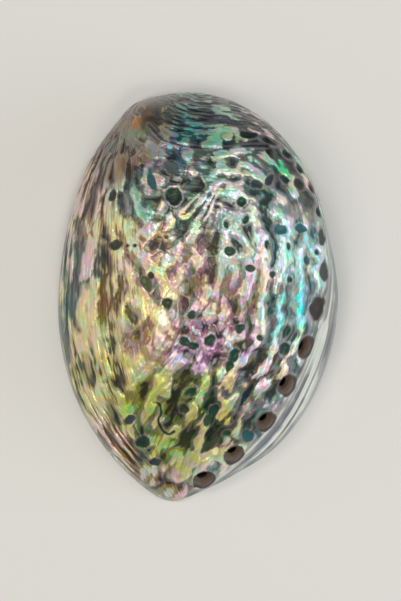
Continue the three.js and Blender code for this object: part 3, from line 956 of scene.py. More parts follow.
@dataclass(frozen=True)
class Relief:
    """The ups and downs of the outside: the row's ridge, cords, lumps, pits and healed holes.

    The ridge, the furrow and the spire each have a height and a spread. The older, top, low and tip
    parts each have two turns, from the spire to the front lip, between which they fade in or out.
    """

    plan: Plan
    growth: Growth
    ridge: Span = (1.4 * MM, 3.8 * MM)
    furrow: Span = (0.8 * MM, 4.0 * MM)
    furrow_offset: float = 7.0 * MM
    row_grown: Span = (0.2, 0.5)  # the turns of the row over which ridge and furrow rise
    spire: Span = (1.7 * MM, 6.5 * MM)
    spire_at: Span = (-0.38, 0.88)
    spire_calm: Span = (3.0 * MM, 15.0 * MM)  # distances from the spire over which the relief grows
    older_part: Span = (0.46, 0.6)
    top_part: Span = (0.3, 0.42)
    low_part: Span = (0.62, 0.74)
    tip_part: Span = (0.8, 0.9)
    right_part: Span = (0.58, 0.76)  # growth shares over which the cords take over
    beyond_row: Span = (0.5 * MM, 4.0 * MM)  # distances outside the row over which the wall does
    fan_width: float = 92.0  # millimetres from the left edge to the hole row at the widest place
    steep_below: float = 14.0  # millimetres of height under which the left wall is steep
    cord_pitch: float = 6.2  # millimetres from cord to cord
    run_length: float = 165.0  # millimetres from the spire to the front lip down a growth line
    row_length: float = 190.0  # millimetres along the hole row
    cell_lean: float = math.radians(62)
    fold_height: float = 0.2 * MM
    fold_hush: float = 0.65  # how much of the other relief a fold smooths away
    healed_depth: float = 0.9 * MM
    raggedness: float = 0.45 * MM  # how far the outlines of the marks stray
    rim_share: float = 0.15  # the height of a pit's raised rim over the pit's depth
    ray_pitch: float = 4.8  # degrees from one fine ray to the next
    heights: dict[str, float] = field(
        default_factory=lambda: {
            "cords": 0.28 * MM,
            "scallops": 0.34 * MM,
            "cells": 0.22 * MM,
            "mosaic": 0.22 * MM,
            "milk": 0.12 * MM,
            "rays": 0.1 * MM,
            "streaks": 0.22 * MM,
            "plumes": 0.38 * MM,
            "wall": 0.04 * MM,
            "back": 0.16 * MM,
        }
    )

    def near(self, x: Numbers, y: Numbers, spot: Spot) -> Numbers:
        """How far into an oval area points of the plan are.

        Args:
            x: first coordinates of the points.
            y: second coordinates of the points.
            spot: the area.

        Returns:
            1 in its middle and 0 outside it, with a soft edge.
        """
        centre = self.plan.place(spot.at)
        u, v = (x - centre[0]) / spot.wide, (y - centre[1]) / spot.long
        return 1.0 - smooth_step(np.hypot(u, v), 0.6, 1.2)

    def zones(
        self, share: Numbers, turn: Numbers, away: Numbers, x: Numbers, y: Numbers
    ) -> dict[str, Numbers]:
        """How much of each kind of relief there is at each point.

        Args:
            share: the growth share, from the left edge to the hole row.
            turn: how far from the spire to the front lip.
            away: signed distance from the hole row.
            x: first coordinates of the points of the plan.
            y: second coordinates of the points of the plan.

        Returns:
            A weight from 0 to 1 for each kind, which together make 1.
        """
        beyond = smooth_step(away, *self.beyond_row)
        inside = 1.0 - beyond
        older = 1.0 - smooth_step(turn, *self.older_part)
        low = smooth_step(turn, *self.low_part)
        tip = smooth_step(turn, *self.tip_part)
        top = 1.0 - smooth_step(turn, *self.top_part)
        left = (1.0 - smooth_step(share, lerp(0.26, 0.1, low), lerp(0.42, 0.26, low))) * (1.0 - tip)
        right = smooth_step(share, *self.right_part) * (1.0 - tip)
        middle = inside * (1.0 - left) * (1.0 - right) * (1.0 - low)
        mosaic = middle * self.near(x, y, MOSAIC)
        milk = (middle - mosaic) * self.near(x, y, MILK)
        rays = (middle - mosaic - milk) * self.near(x, y, RAYS)
        return {
            "cords": inside * right * (1.0 - top),
            "scallops": inside * right * top,
            "cells": middle - mosaic - milk - rays,
            "mosaic": mosaic,
            "milk": milk,
            "rays": rays,
            "streaks": inside * left * (1.0 - right),
            "plumes": inside * (1.0 - left) * low * (1.0 - right),
            "wall": beyond * (1.0 - older),
            "back": beyond * older,
        }

    def grains(
        self, x: Numbers, y: Numbers, fan: Numbers, run: Numbers, cord: Numbers
    ) -> dict[str, Grain]:
        """The pattern of each kind of relief.

        Args:
            x: first coordinates of the points, in millimetres.
            y: second coordinates, in millimetres.
            fan: how far across the fan of growth lines, in millimetres.
            run: how far down the growth lines, in millimetres.
            cord: how far in from the hole row, in millimetres.

        Returns:
            The pattern of each kind, by its name.
        """
        wander = Ripple(3, 12.0, 12.0).at(x, y)
        jitter = Ripple(7, 3.2, 3.2).at(x, y)
        sway = Ripple(47, 4.0, 4.0).at(x, y)
        bead = Ripple(5, 4.4, 4.4).at(x, y)
        crumb = Ripple(41, 2.1, 2.1).at(x, y)
        wave = np.cos(2 * math.pi * (cord + 2.4 * wander + 1.2 * jitter) / self.cord_pitch)
        sine, cosine = math.sin(self.cell_lean), math.cos(self.cell_lean)
        over = -x * sine + y * cosine + 1.3 * wander + 0.9 * jitter
        down = x * cosine + y * sine + 1.2 * sway
        across = fan + 1.6 * wander + 0.7 * jitter
        spread = self.plan.place(RAYS_FROM) / MM
        angle = np.degrees(np.arctan2(y - spread[1], x - spread[0])) + 1.6 * jitter
        reach = np.hypot(x - spread[0], y - spread[1])
        rays = 1.5 * Ripple(73, 0.5 * self.ray_pitch, 7.0).at(angle, reach)
        plain = Cells(71, 7.0, 7.0).at(over, down)
        long = Ripple(11, 2.4, 11.0).at(across, run)
        fine = Ripple(13, 1.2, 8.0).at(across, run)
        return {
            "cords": Grain.of(
                Cells(61, 5.5, 9.0).at(cord + jitter, y),
                0.7 * wave + 0.7 * bead + 0.3 * crumb,
                0.6,
            ),
            "scallops": Grain.of(
                Cells(63, 3.6, 6.5).at(cord + 1.4 * jitter, x + 1.5 * sway),
                0.12 * wave + 0.65 * bead + 0.4 * crumb,
                1.8,
            ),
            "cells": Grain.of(
                Cells(51, 4.0, 7.5).at(over, down),
                0.15 * wave + 0.6 * bead + 0.25 * crumb,
                1.2,
            ),
            "mosaic": Grain.of(Cells(55, 3.0, 3.8).at(over, down), 0.3 * bead + 0.4 * crumb, 1.5),
            "milk": Grain.of(Cells(59, 6.5, 9.0).at(over, down), 0.5 + 0.3 * wander + 0.15 * bead, 0.6),
            "rays": Grain.of(plain, 0.25 + 1.1 * rays + 0.2 * crumb, 0.3),
            "streaks": Grain.of(
                Cells(57, 3.6, 11.0).at(across, run + 2.0 * sway),
                0.05 + 1.5 * long + 0.6 * fine + 0.8 * bead + 0.3 * crumb,
                1.8,
            ),
            "plumes": Grain.of(Cells(53, 5.2, 12.0).at(over, down), 0.1 + 0.7 * bead + 0.4 * crumb, 2.0),
            "wall": Grain.of(plain, 1.3 * Ripple(67, 2.4, 14.0).at(cord, run) + 0.3 * jitter, 0.0),
            "back": Grain.of(
                Cells(65, 2.2, 6.0).at(cord + 0.5 * jitter, run + sway),
                1.5 * Ripple(83, 1.3, 5.0).at(cord + 0.5 * bead, run) + 0.5 * crumb - 0.35,
                0.7,
            ),
        }

    def marks(self, x: Numbers, y: Numbers) -> tuple[Numbers, Numbers, Numbers]:
        """The pits and the holes.

        Args:
            x: first coordinates of points of the plan.
            y: second coordinates of points of the plan.

        Returns:
            Signed distance from the nearest outline, the colour inside that outline, and how
            far the surface sinks there.
        """
        nearest = np.full(x.shape, 9.0 * MM)
        tone = np.zeros(x.shape + (3,))
        sink = np.zeros(x.shape)
        ragged = self.raggedness * Ripple(79, 1.7 * MM, 1.7 * MM).at(x, y)
        for pit in (*CRACKS, *PITS, *(self.as_pit(hole) for hole in (*HEALED_HOLES, *OPEN_HOLES))):
            away = pit.distance(self.plan, x, y) + ragged * min(1.0, pit.radius / (2.0 * MM))
            bowl = 1.0 - smooth_step(away, -0.6 * pit.radius, 0.25 * MM)
            rim = self.rim_share * pit.depth * bell(away - 0.5 * MM, 0.5 * MM)
            sink += pit.depth * bowl - rim
            closer = away < nearest
            nearest[closer] = away[closer]
            tone[closer] = pit.tone.linear()[:3]
        return nearest, tone, sink

    def as_pit(self, hole: BreathingHole) -> Pit:
        """Turns a hole of the row into an oval mark.

        Args:
            hole: the hole.

        Returns:
            The mark, which lies along the row and has no depth of its own if the hole is open.
        """
        centre = self.plan.place(hole.at)
        _, turn = self.plan.row_at(np.array([centre[0]]), np.array([centre[1]]))
        before, after = self.plan.row.at(np.clip(np.array([turn[0] - 0.01, turn[0] + 0.01]), 0, 1))
        lean = math.degrees(math.atan2(after[1] - before[1], after[0] - before[0]))
        radius = math.sqrt(hole.along * hole.across)
        depth = self.healed_depth if hole in HEALED_HOLES else 0.0
        return Pit(hole.at, radius, hole.tone, hole.along / hole.across, lean, depth)

    def height(self, x: Numbers, y: Numbers, maps: "Maps") -> Numbers:
        """How far the outside stands proud of the plain dome.

        Args:
            x: first coordinates of points of the plan.
            y: second coordinates of points of the plan.
            maps: the same points' growth coordinates, zones and marks.

        Returns:
            One height in metres for each point.
        """
        grown = smooth_step(maps.row_turn, *self.row_grown)
        ridge = self.ridge[0] * bell(maps.away, self.ridge[1])
        furrow = self.furrow[0] * bell(maps.away - self.furrow_offset, self.furrow[1])
        spire_at = self.plan.place(self.spire_at)
        spire = self.spire[0] * bell(np.hypot(x - spire_at[0], y - spire_at[1]), self.spire[1])
        lumps = sum(self.heights[kind] * maps.zones[kind] * maps.grains[kind].height for kind in maps.zones)
        lumps = lumps * maps.grown * (1.0 - maps.hush) + self.fold_height * maps.folded
        calm = smooth_step(maps.mark, -0.5 * MM, 2.0 * MM)
        return (ridge - furrow) * grown + spire + lumps * calm - maps.sink


@dataclass
class Maps:
    """What is known about every point of the surface."""

    share: Numbers
    fan: Numbers
    cord: Numbers
    away: Numbers
    row_turn: Numbers
    grown: Numbers
    zones: dict[str, Numbers]
    grains: dict[str, Grain]
    mark: Numbers
    mark_tone: Numbers
    sink: Numbers
    bore: Numbers
    folded: Numbers
    hush: Numbers

    @classmethod
    def survey(cls, relief: Relief, points: Numbers, outer: int) -> "Maps":
        """Works out the maps of the grid's points.

        Args:
            relief: the relief they carry.
            points: the points by ring and turn.
            outer: how many of the rings are outside.

        Returns:
            The maps, ring by ring like the points.
        """
        x, y, z = np.moveaxis(points, -1, 0)
        away, row_turn = relief.plan.row_at(x, y)
        share, turn = relief.growth.at(x, y)
        on_row = np.abs(away[:outer]) < 1.0 * MM
        row_lift = np.polynomial.Polynomial.fit(row_turn[:outer][on_row], z[:outer][on_row], deg=7)
        drop = np.maximum(row_lift(row_turn) - z, 0.0)
        cord = np.where(away < 0.0, relief.plan.inward(x, y), away + drop) / MM
        fan = share * relief.fan_width - np.maximum(relief.steep_below - z / MM, 0.0)
        mark, tone, sink = relief.marks(x, y)
        spire = relief.plan.place(relief.spire_at)
        grown = lerp(0.3, 1.0, smooth_step(np.hypot(x - spire[0], y - spire[1]), *relief.spire_calm))
        zones = relief.zones(share, turn, away, x, y)
        run = np.where(away < 0.0, turn * relief.run_length, row_turn * relief.row_length)
        grains = relief.grains(x / MM, y / MM, fan, run, cord)
        bore = np.min([relief.as_pit(hole).distance(relief.plan, x, y) for hole in OPEN_HOLES], axis=0)
        bore = 1.0 - smooth_step(bore, 0.0, 0.5 * MM)
        rises = [fold.rise(relief.plan, x, y) for fold in FOLDS]
        folded = sum(fold.height * rise for fold, rise in zip(FOLDS, rises))
        hush = relief.fold_hush * np.max(rises, axis=0)
        placed = (share, fan, cord, away, row_turn)
        return cls(*placed, grown, zones, grains, mark, tone, sink, bore, folded, hush)

    def lump(self) -> Numbers:
        """The ups and downs where the kinds of relief meet, from -1.3 to 1.3."""
        mixed = sum(self.zones[kind] * self.grains[kind].height for kind in self.zones)
        return np.clip(mixed * self.grown * (1.0 - self.hush) + self.folded, -1.3, 1.3)

    def seam(self) -> Numbers:
        """How far the edge of the nearest cell is, 0 on it."""
        return sum(self.zones[kind] * self.grains[kind].seam for kind in self.zones)

    def luck(self) -> Numbers:
        """Each cell's own number, from 0 to 1."""
        return sum(self.zones[kind] * self.grains[kind].luck for kind in self.zones)


# ------------------------------------------------------------------------------------ the shell
@dataclass
class Shell:
    """The whole shell: outside, ground edge, hollow, open holes, and the maps its finish reads."""

    dome: Dome
    relief: Relief
    around: int = 448
    rings: int = 190
    outer_rings: int = 146
    edge_rings: int = 4
    # Shares of the hollow's rings at which the vault, the bank and the plate start and the lip ends.
    hollow_marks: tuple[float, ...] = (0.0, 0.62, 0.8, 1.0)
    lip_fade: float = 1.6 * MM  # the height over which the relief grows from nothing at the lip
    inner_lump: float = 0.075 * MM  # how far a full lump of the outside shows in the hollow
    scar_at: Span = (2.0 * MM, 4.0 * MM)
    scar_half: Span = (15.0 * MM, 21.0 * MM)
    scar_ring: float = 0.5 * MM
    scar_rough: float = 0.22 * MM
    hole_uprightness: float = 0.5  # 0 for holes square to the wall, more for upright ones
    hole_waist: float = 0.86  # the cutter's half sizes below its flare, as shares of the hole's
    hole_flare: float = 0.24
    hole_taper: float = 0.5
    cutter_reach: float = 7.0 * MM
    coat_wander: Span = (0.063, 0.045)  # how far the colour patches stray, as shares of the half sizes
    patch_width: float = 1.25  # a patch's width over its length, both as shares
    patch_blur: float = 0.0012
    # How strongly the dips' painted shade and the crests' painted highlight colours are scaled.
    painted_shade_strength: float = 0.65
    painted_highlight_strength: float = 0.92
    name: str = "nacre_shell"

    def grid(self) -> Numbers:
        """The rings of points from the crown over the lip to the vault, without relief."""
        turn = np.arange(self.around) / self.around
        surfaces = []
        for ring in range(self.outer_rings + 1):
            reach = math.sin(ring / self.outer_rings * math.pi / 2)
            surfaces.append(self.dome.outside(turn, np.full(turn.shape, reach)))
        inner_count = self.rings - self.outer_rings - self.edge_rings
        lip_in = self.dome.hollow(turn, np.full(turn.shape, 3.0))
        for step in range(1, self.edge_rings):
            surfaces.append(lerp(surfaces[self.outer_rings], lip_in, step / self.edge_rings))
        for ring in range(inner_count + 1):
            left = 1.0 - ring / inner_count
            depth = np.interp(left, self.hollow_marks, range(len(self.hollow_marks)))
            surfaces.append(self.dome.hollow(turn, np.full(turn.shape, depth)))
        return np.array(surfaces)

    def normals(self, grid: Numbers) -> Numbers:
        """The way out of the surface at every point of the grid.

        Args:
            grid: the points by ring and turn.

        Returns:
            One direction of length 1 for each point.
        """
        down = np.gradient(grid, axis=0)
        over = np.roll(grid, -1, axis=1) - np.roll(grid, 1, axis=1)
        way = np.cross(down, over)
        size = np.linalg.norm(way, axis=-1, keepdims=True)
        way = way / np.maximum(size, 1e-12)
        way[0], way[-1] = (0.0, 0.0, 1.0), (0.0, 0.0, -1.0)
        return way

    def modelled(self) -> tuple[Numbers, Maps, Numbers]:
        """Raises the relief on the grid.

        Returns:
            The finished points, their maps, and how far each belongs to the hollow, from 0 to 1.
        """
        grid = self.grid()
        out = self.normals(grid)
        maps = Maps.survey(self.relief, grid, self.outer_rings)
        height = self.relief.height(grid[..., 0], grid[..., 1], maps)
        ring = np.arange(self.rings + 1.0)
        hollow = smooth_step(ring, self.outer_rings, self.outer_rings + self.edge_rings)
        hollow = np.broadcast_to(hollow[:, None], height.shape)
        fade = smooth_step(grid[..., 2], 0.0, self.lip_fade)
        inner = self.scar(grid) - self.inner_lump * maps.lump()
        grid = grid + out * (np.where(hollow > 0.5, inner, height) * fade)[..., None]
        return grid, maps, hollow

    def scar(self, grid: Numbers) -> Numbers:
        """The low rough ring that the foot muscle leaves in the vault.

        Args:
            grid: the points by ring and turn.

        Returns:
            How far it stands proud at each point, in metres.
        """
        x, y = ((grid[..., k] - self.scar_at[k]) / self.scar_half[k] for k in (0, 1))
        turn = np.arctan2(y, x)
        edge = np.hypot(x, y) - 1.0 - 0.06 * np.sin(3 * turn + 1.0) - 0.04 * np.sin(7 * turn)
        rough = Ripple(29, 2.2 * MM, 2.2 * MM).at(grid[..., 0], grid[..., 1])
        within = 1.0 - smooth_step(edge, -0.1, 0.05)
        return self.scar_ring * bell(edge, 0.09) + self.scar_rough * rough * within

    def centring(self) -> Numbers:
        """How far the grid moves so that it lies over the frame's own shell.

        Returns:
            The way to go along X, Y and Z, in metres.
        """
        low, high = (np.array(corner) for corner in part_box(NODE))
        outline = self.dome.outside(np.linspace(0, 1, 2000), np.ones(2000))
        shift = (low + high) / 2 - (outline.min(0) + outline.max(0)) / 2
        return np.array([shift[0], shift[1], low[2]])

    def build(self) -> bpy.types.Object:
        """Models the shell as one object.

        Returns:
            The finished object, with its attributes and without a material.
        """
        grid, maps, hollow = self.modelled()
        grid = grid + self.centring()
        bm = bmesh.new()
        bmesh.ops.create_uvsphere(bm, u_segments=self.around, v_segments=self.rings, radius=1.0)
        known = []
        for vert in bm.verts:
            row = round(math.acos(max(-1.0, min(1.0, vert.co.z))) / math.pi * self.rings)
            column = round(math.atan2(vert.co.y, vert.co.x) / (2 * math.pi) * self.around) % self.around
            known.append((row, column))
            vert.co = grid[row, column]
        bmesh.ops.recalc_face_normals(bm, faces=bm.faces)
        for face in bm.faces:
            face.smooth = True
        mesh = bpy.data.meshes.new(self.name)
        bm.to_mesh(mesh)
        bm.free()
        shell = bpy.data.objects.new(self.name, mesh)
        bpy.context.collection.objects.link(shell)
        before = np.array([v.co for v in mesh.vertices])
        self.pierce(shell, grid, self.normals(grid))
        self.paint(shell, before, np.array(known), maps, hollow, grid)
        return shell

    def pierce(self, shell: bpy.types.Object, grid: Numbers, out: Numbers) -> None:
        """Cuts the open breathing holes through the wall, with rounded lips.

        Args:
            shell: the shell to cut.
            grid: its points by ring and turn.
            out: the way out of the surface at each point.
        """
        outside = grid[: self.outer_rings].reshape(-1, 3)
        ways = out[: self.outer_rings].reshape(-1, 3)
        shift = self.centring()[:2]
        upright = Vector((0.0, 0.0, self.hole_uprightness))
        for hole in OPEN_HOLES:
            centre = self.relief.plan.place(hole.at) + shift
            near = np.argsort(np.hypot(outside[:, 0] - centre[0], outside[:, 1] - centre[1]))[:40]
            foot = Vector(outside[near[0]])
            way = (Vector(ways[near].mean(0)).normalized() + upright).normalized()
            lean = math.radians(self.relief.as_pit(hole).lean)
            along = Vector((math.cos(lean), math.sin(lean), 0.0))
            along = (along - way * along.dot(way)).normalized()
            cutter = self.cutter(hole, foot, way, along)
            cut = shell.modifiers.new("breathing hole", "BOOLEAN")
            cut.operation, cut.object, cut.solver = "DIFFERENCE", cutter, "MANIFOLD"
            self.settle(shell)
            bpy.data.meshes.remove(cutter.data)

    def cutter(self, hole: BreathingHole, foot: Vector, way: Vector, along: Vector) -> bpy.types.Object:
        """The trumpet-shaped cutter of one hole.

        Args:
            hole: the hole's sizes.
            foot: the point of the surface at its middle.
            way: the way out of the surface there.
            along: the way along the row.

        Returns:
            The cutter as an object of its own.
        """
        bm = bmesh.new()
        bmesh.ops.create_uvsphere(bm, u_segments=64, v_segments=40, radius=1.0)
        for vert in bm.verts:
            polar = math.acos(max(-1.0, min(1.0, vert.co.z)))
            height = (1.0 - 2.0 * polar / math.pi) * self.cutter_reach
            width = 1.0 + self.hole_flare * max(0.0, min(1.0, (height + 1.2 * MM) / (2.0 * MM))) ** 2
            width -= self.hole_taper * max(0.0, min(1.0, (-0.6 * MM - height) / (2.6 * MM)))
            side = math.hypot(vert.co.x, vert.co.y) or 1.0
            scale = self.hole_waist * width * min(1.0, math.sin(polar) * 3.0) / side
            vert.co = (vert.co.x * scale * hole.along, vert.co.y * scale * hole.across, height)
        turned = Matrix((along, way.cross(along), way)).transposed().to_4x4()
        bmesh.ops.transform(bm, matrix=Matrix.Translation(foot) @ turned, verts=bm.verts)
        bmesh.ops.recalc_face_normals(bm, faces=bm.faces)
        mesh = bpy.data.meshes.new("hole cutter")
        bm.to_mesh(mesh)
        bm.free()
        cutter = bpy.data.objects.new("hole cutter", mesh)
        bpy.context.collection.objects.link(cutter)
        return cutter

    def settle(self, piece: bpy.types.Object) -> None:
        """Makes a piece's modifiers part of its mesh.

        Args:
            piece: the piece, which keeps its name.
        """
        bpy.context.view_layer.update()
        graph = bpy.context.evaluated_depsgraph_get()
        done = bpy.data.meshes.new_from_object(piece.evaluated_get(graph))
        old, piece.data = piece.data, done
        piece.modifiers.clear()
        bpy.data.meshes.remove(old)
        done.materials.clear()
        done.name = self.name

    def paint(
        self,
        shell: bpy.types.Object,
        before: Numbers,
        known: Numbers,
        maps: Maps,
        hollow: Numbers,
        grid: Numbers,
    ) -> None:
        """Gives every vertex the colours and measures that the finish reads.

        Args:
            shell: the cut shell.
            before: the vertices before the cuts.
            known: the ring and the place round it of each of them.
            maps: the grid's maps.
            hollow: how far each of the grid's points belongs to the hollow.
            grid: the grid's points.
        """
        mesh = shell.data
        tree = kdtree.KDTree(len(before))
        for i, point in enumerate(before):
            tree.insert(point, i)
        tree.balance()
        found = [tree.find(v.co) for v in mesh.vertices]
        same = np.array([index for _, index, _ in found])
        cut = np.array([gap for *_, gap in found]) > 0.02 * MM
        rows, columns = known[same].T
        coats = self.coats(grid[..., 0], grid[..., 1], maps)
        for name, colours in coats.items():
            layer = mesh.attributes.new(name, "FLOAT_COLOR", "POINT")
            values = np.ones((len(mesh.vertices), 4), dtype=np.float32)
            values[:, :3] = colours[rows, columns]
            if name == "mark_tone":
                values[cut, :3] = Hue.UMBER.linear()[:3]
            layer.data.foreach_set("color", values.ravel())
        measures = {
            "lump": maps.lump(),
            "fan": maps.fan,
            "cord": maps.cord,
            "seam": maps.seam(),
            "luck": maps.luck(),
            "outlined": 0.5 * maps.zones["cells"] + maps.zones["mosaic"] + maps.zones["milk"],
            "by_row": 1.0 - maps.zones["streaks"] - maps.zones["wall"],
            "mark": np.clip(maps.mark / MM, -4.0, 6.0),
            "lift": np.minimum(grid[..., 2] / MM, 12.0),
            "hollow": hollow,
            "smoothness": np.maximum(maps.zones["wall"] + 0.6 * maps.zones["milk"], 1.0 - maps.grown),
            "streaky": 2.2 * maps.zones["streaks"] * smooth_step(maps.share, 0.08, 0.2),
            "bore": maps.bore,
        }
        bored = {"bore": 1.0, "mark": -2.0, "hollow": 0.0}
        for name, values in measures.items():
            layer = mesh.attributes.new(name, "FLOAT", "POINT")
            values = values[rows, columns].astype(np.float32)
            if name in bored:
                values[cut] = bored[name]
            layer.data.foreach_set("value", values)

    def coats(self, x: Numbers, y: Numbers, maps: Maps) -> dict[str, Numbers]:
        """The colours of every point, blended from the patches near it, and those of its marks.

        Args:
            x: first coordinates of the grid.
            y: second coordinates of the grid.
            maps: the grid's maps.

        Returns:
            The colour of dips, slopes, crests and marks for each point.
        """
        half, wander = self.relief.plan.half, self.coat_wander
        u = x / half[0] + wander[0] * Ripple(31, 6.0, 6.0).at(x / MM, y / MM)
        v = y / half[1] + wander[1] * Ripple(37, 6.0, 6.0).at(x / MM, y / MM)
        total = np.zeros(x.shape)
        mixed = {name: np.zeros(x.shape + (3,)) for name in ("painted_shade", "tint", "painted_highlight")}
        for patch in PATCHES:
            gap = ((u - patch.at[0]) / self.patch_width) ** 2 + (v - patch.at[1]) ** 2
            weight = 1.0 / (gap + self.patch_blur) ** 2
            total += weight
            for name, hue in (("painted_shade", patch.painted_shade), ("tint", patch.tint), ("painted_highlight", patch.painted_highlight)):
                mixed[name] += weight[..., None] * np.array(hue.linear()[:3])
        # The dips' colours are darkened as painted shade; the crests' painted highlight colours are scaled
        # too.
        mixed["painted_shade"] *= self.painted_shade_strength
        mixed["painted_highlight"] *= self.painted_highlight_strength
        coats = {name: colour / total[..., None] for name, colour in mixed.items()}
        coats["mark_tone"] = maps.mark_tone
        return coats


# ------------------------------------------------------------------------------------ finishes
class Bench:
    """Lays out and joins the nodes of one material."""

    def __init__(self, name: str) -> None:
        """Starts an empty material of that name."""
        self.material = bpy.data.materials.new(name)
        self.material.use_nodes = True
        self.tree = self.material.node_tree
        self.tree.nodes.clear()

    def put(self, socket: Socket, value: object) -> None:
        """Joins a socket to another, or sets it.

        Args:
            socket: the socket that takes the value.
            value: another node's socket, or a number or colour.
        """
        if isinstance(value, bpy.types.NodeSocket):
            self.tree.links.new(value, socket)
        else:
            socket.default_value = value

    def node(
        self, kind: str, inputs: dict[str | int, object] | None = None, **settings: object
    ) -> bpy.types.Node:
        """Adds one node.

        Args:
            kind: its Blender type.
            inputs: what goes into its sockets, by name or number.
            settings: its own properties.

        Returns:
            The node.
        """
        node = self.tree.nodes.new(kind)
        for key, value in settings.items():
            setattr(node, key, value)
        for key, value in (inputs or {}).items():
            self.put(node.inputs[key], value)
        return node

    def read(self, name: str, output: str = "Fac") -> Socket:
        """An attribute of the mesh."""
        return self.node("ShaderNodeAttribute", attribute_name=name).outputs[output]

    def place(self) -> Socket:
        """Where each point lies, in metres."""
        return self.node("ShaderNodeTexCoord").outputs["Object"]

    def sum(self, operation: str, a: object, b: object = 0.0, c: float = 0.0) -> Socket:
        """One step of arithmetic."""
        return self.node("ShaderNodeMath", {0: a, 1: b, 2: c}, operation=operation).outputs[0]

    def times(self, a: object, b: object) -> Socket:
        """Two values multiplied."""
        return self.sum("MULTIPLY", a, b)

    def plus(self, a: object, b: object) -> Socket:
        """Two values added."""
        return self.sum("ADD", a, b)

    def rest(self, share: object) -> Socket:
        """What a share leaves of 1."""
        return self.sum("SUBTRACT", 1.0, share)

    def swing(self, noise: Socket, boldness: object) -> Socket:
        """Noise set to swing about 0, as boldly as given."""
        return self.times(self.sum("SUBTRACT", noise, 0.5), boldness)

    def blend(self, share: object, a: object, b: object) -> Socket:
        """Two values mixed."""
        return self.node("ShaderNodeMix", {0: share, 2: a, 3: b}).outputs[0]

    def step(self, value: Socket, low: float, high: float) -> Socket:
        """A smooth rise from 0 at low to 1 at high."""
        inputs = {"Value": value, "From Min": low, "From Max": high}
        return self.node("ShaderNodeMapRange", inputs, interpolation_type="SMOOTHSTEP").outputs[0]

    def mix(self, share: object, a: object, b: object, how: str = "MIX") -> Socket:
        """Two colours mixed.

        Args:
            share: how much of the second there is, from 0 to 1.
            a: the first colour.
            b: the second colour.
            how: the way of mixing.

        Returns:
            The mixed colour.
        """
        inputs = {0: share, 6: a, 7: b}
        node = self.node("ShaderNodeMix", inputs, data_type="RGBA", blend_type=how, clamp_factor=True)
        return node.outputs[2]

    def noise(self, vector: Socket, detail: float) -> Socket:
        """Noise about 0.5 on average, with one wave to a unit and so many finer layers."""
        inputs = {"Vector": vector, "Scale": 1.0, "Detail": detail, "Roughness": 0.55}
        return self.node("ShaderNodeTexNoise", inputs).outputs[0]

    def cloudy(self, waves: tuple[float, float, float], detail: float) -> Socket:
        """Cloudy noise, with so many waves to a metre along each axis."""
        scaled = self.node("ShaderNodeVectorMath", {0: self.place(), 1: waves}, operation="MULTIPLY")
        return self.noise(scaled.outputs[0], detail)

    def drawn(self, line: Socket, waves: Span, detail: float) -> Socket:
        """Noise drawn out along the lines of one measure.

        Args:
            line: the measure across the lines, in millimetres.
            waves: waves to a millimetre across the lines and along them.
            detail: how many finer layers the noise has.

        Returns:
            The noise, about 0.5 on average.
        """
        place = self.node("ShaderNodeSeparateXYZ", {0: self.place()})
        across = self.times(line, waves[0])
        along = [self.times(place.outputs[k], waves[1] / MM) for k in (0, 1)]
        vector = self.node("ShaderNodeCombineXYZ", {0: across, 1: along[0], 2: along[1]})
        return self.noise(vector.outputs[0], detail)

    def bands(self, value: Socket, hues: Sequence[Hue]) -> Socket:
        """A band of colours that starts and ends on the same one.

        Args:
            value: the place in the band, from 0 to 1.
            hues: the colours, evenly spread.

        Returns:
            The colour at that place.
        """
        ramp = self.node("ShaderNodeValToRGB", {0: value})
        stops = ramp.color_ramp.elements
        while len(stops) < len(hues) + 1:
            stops.new(0.5)
        for i, hue in enumerate((*hues, hues[0])):
            stops[i].position, stops[i].color = i / len(hues), hue.linear()
        return ramp.outputs[0]


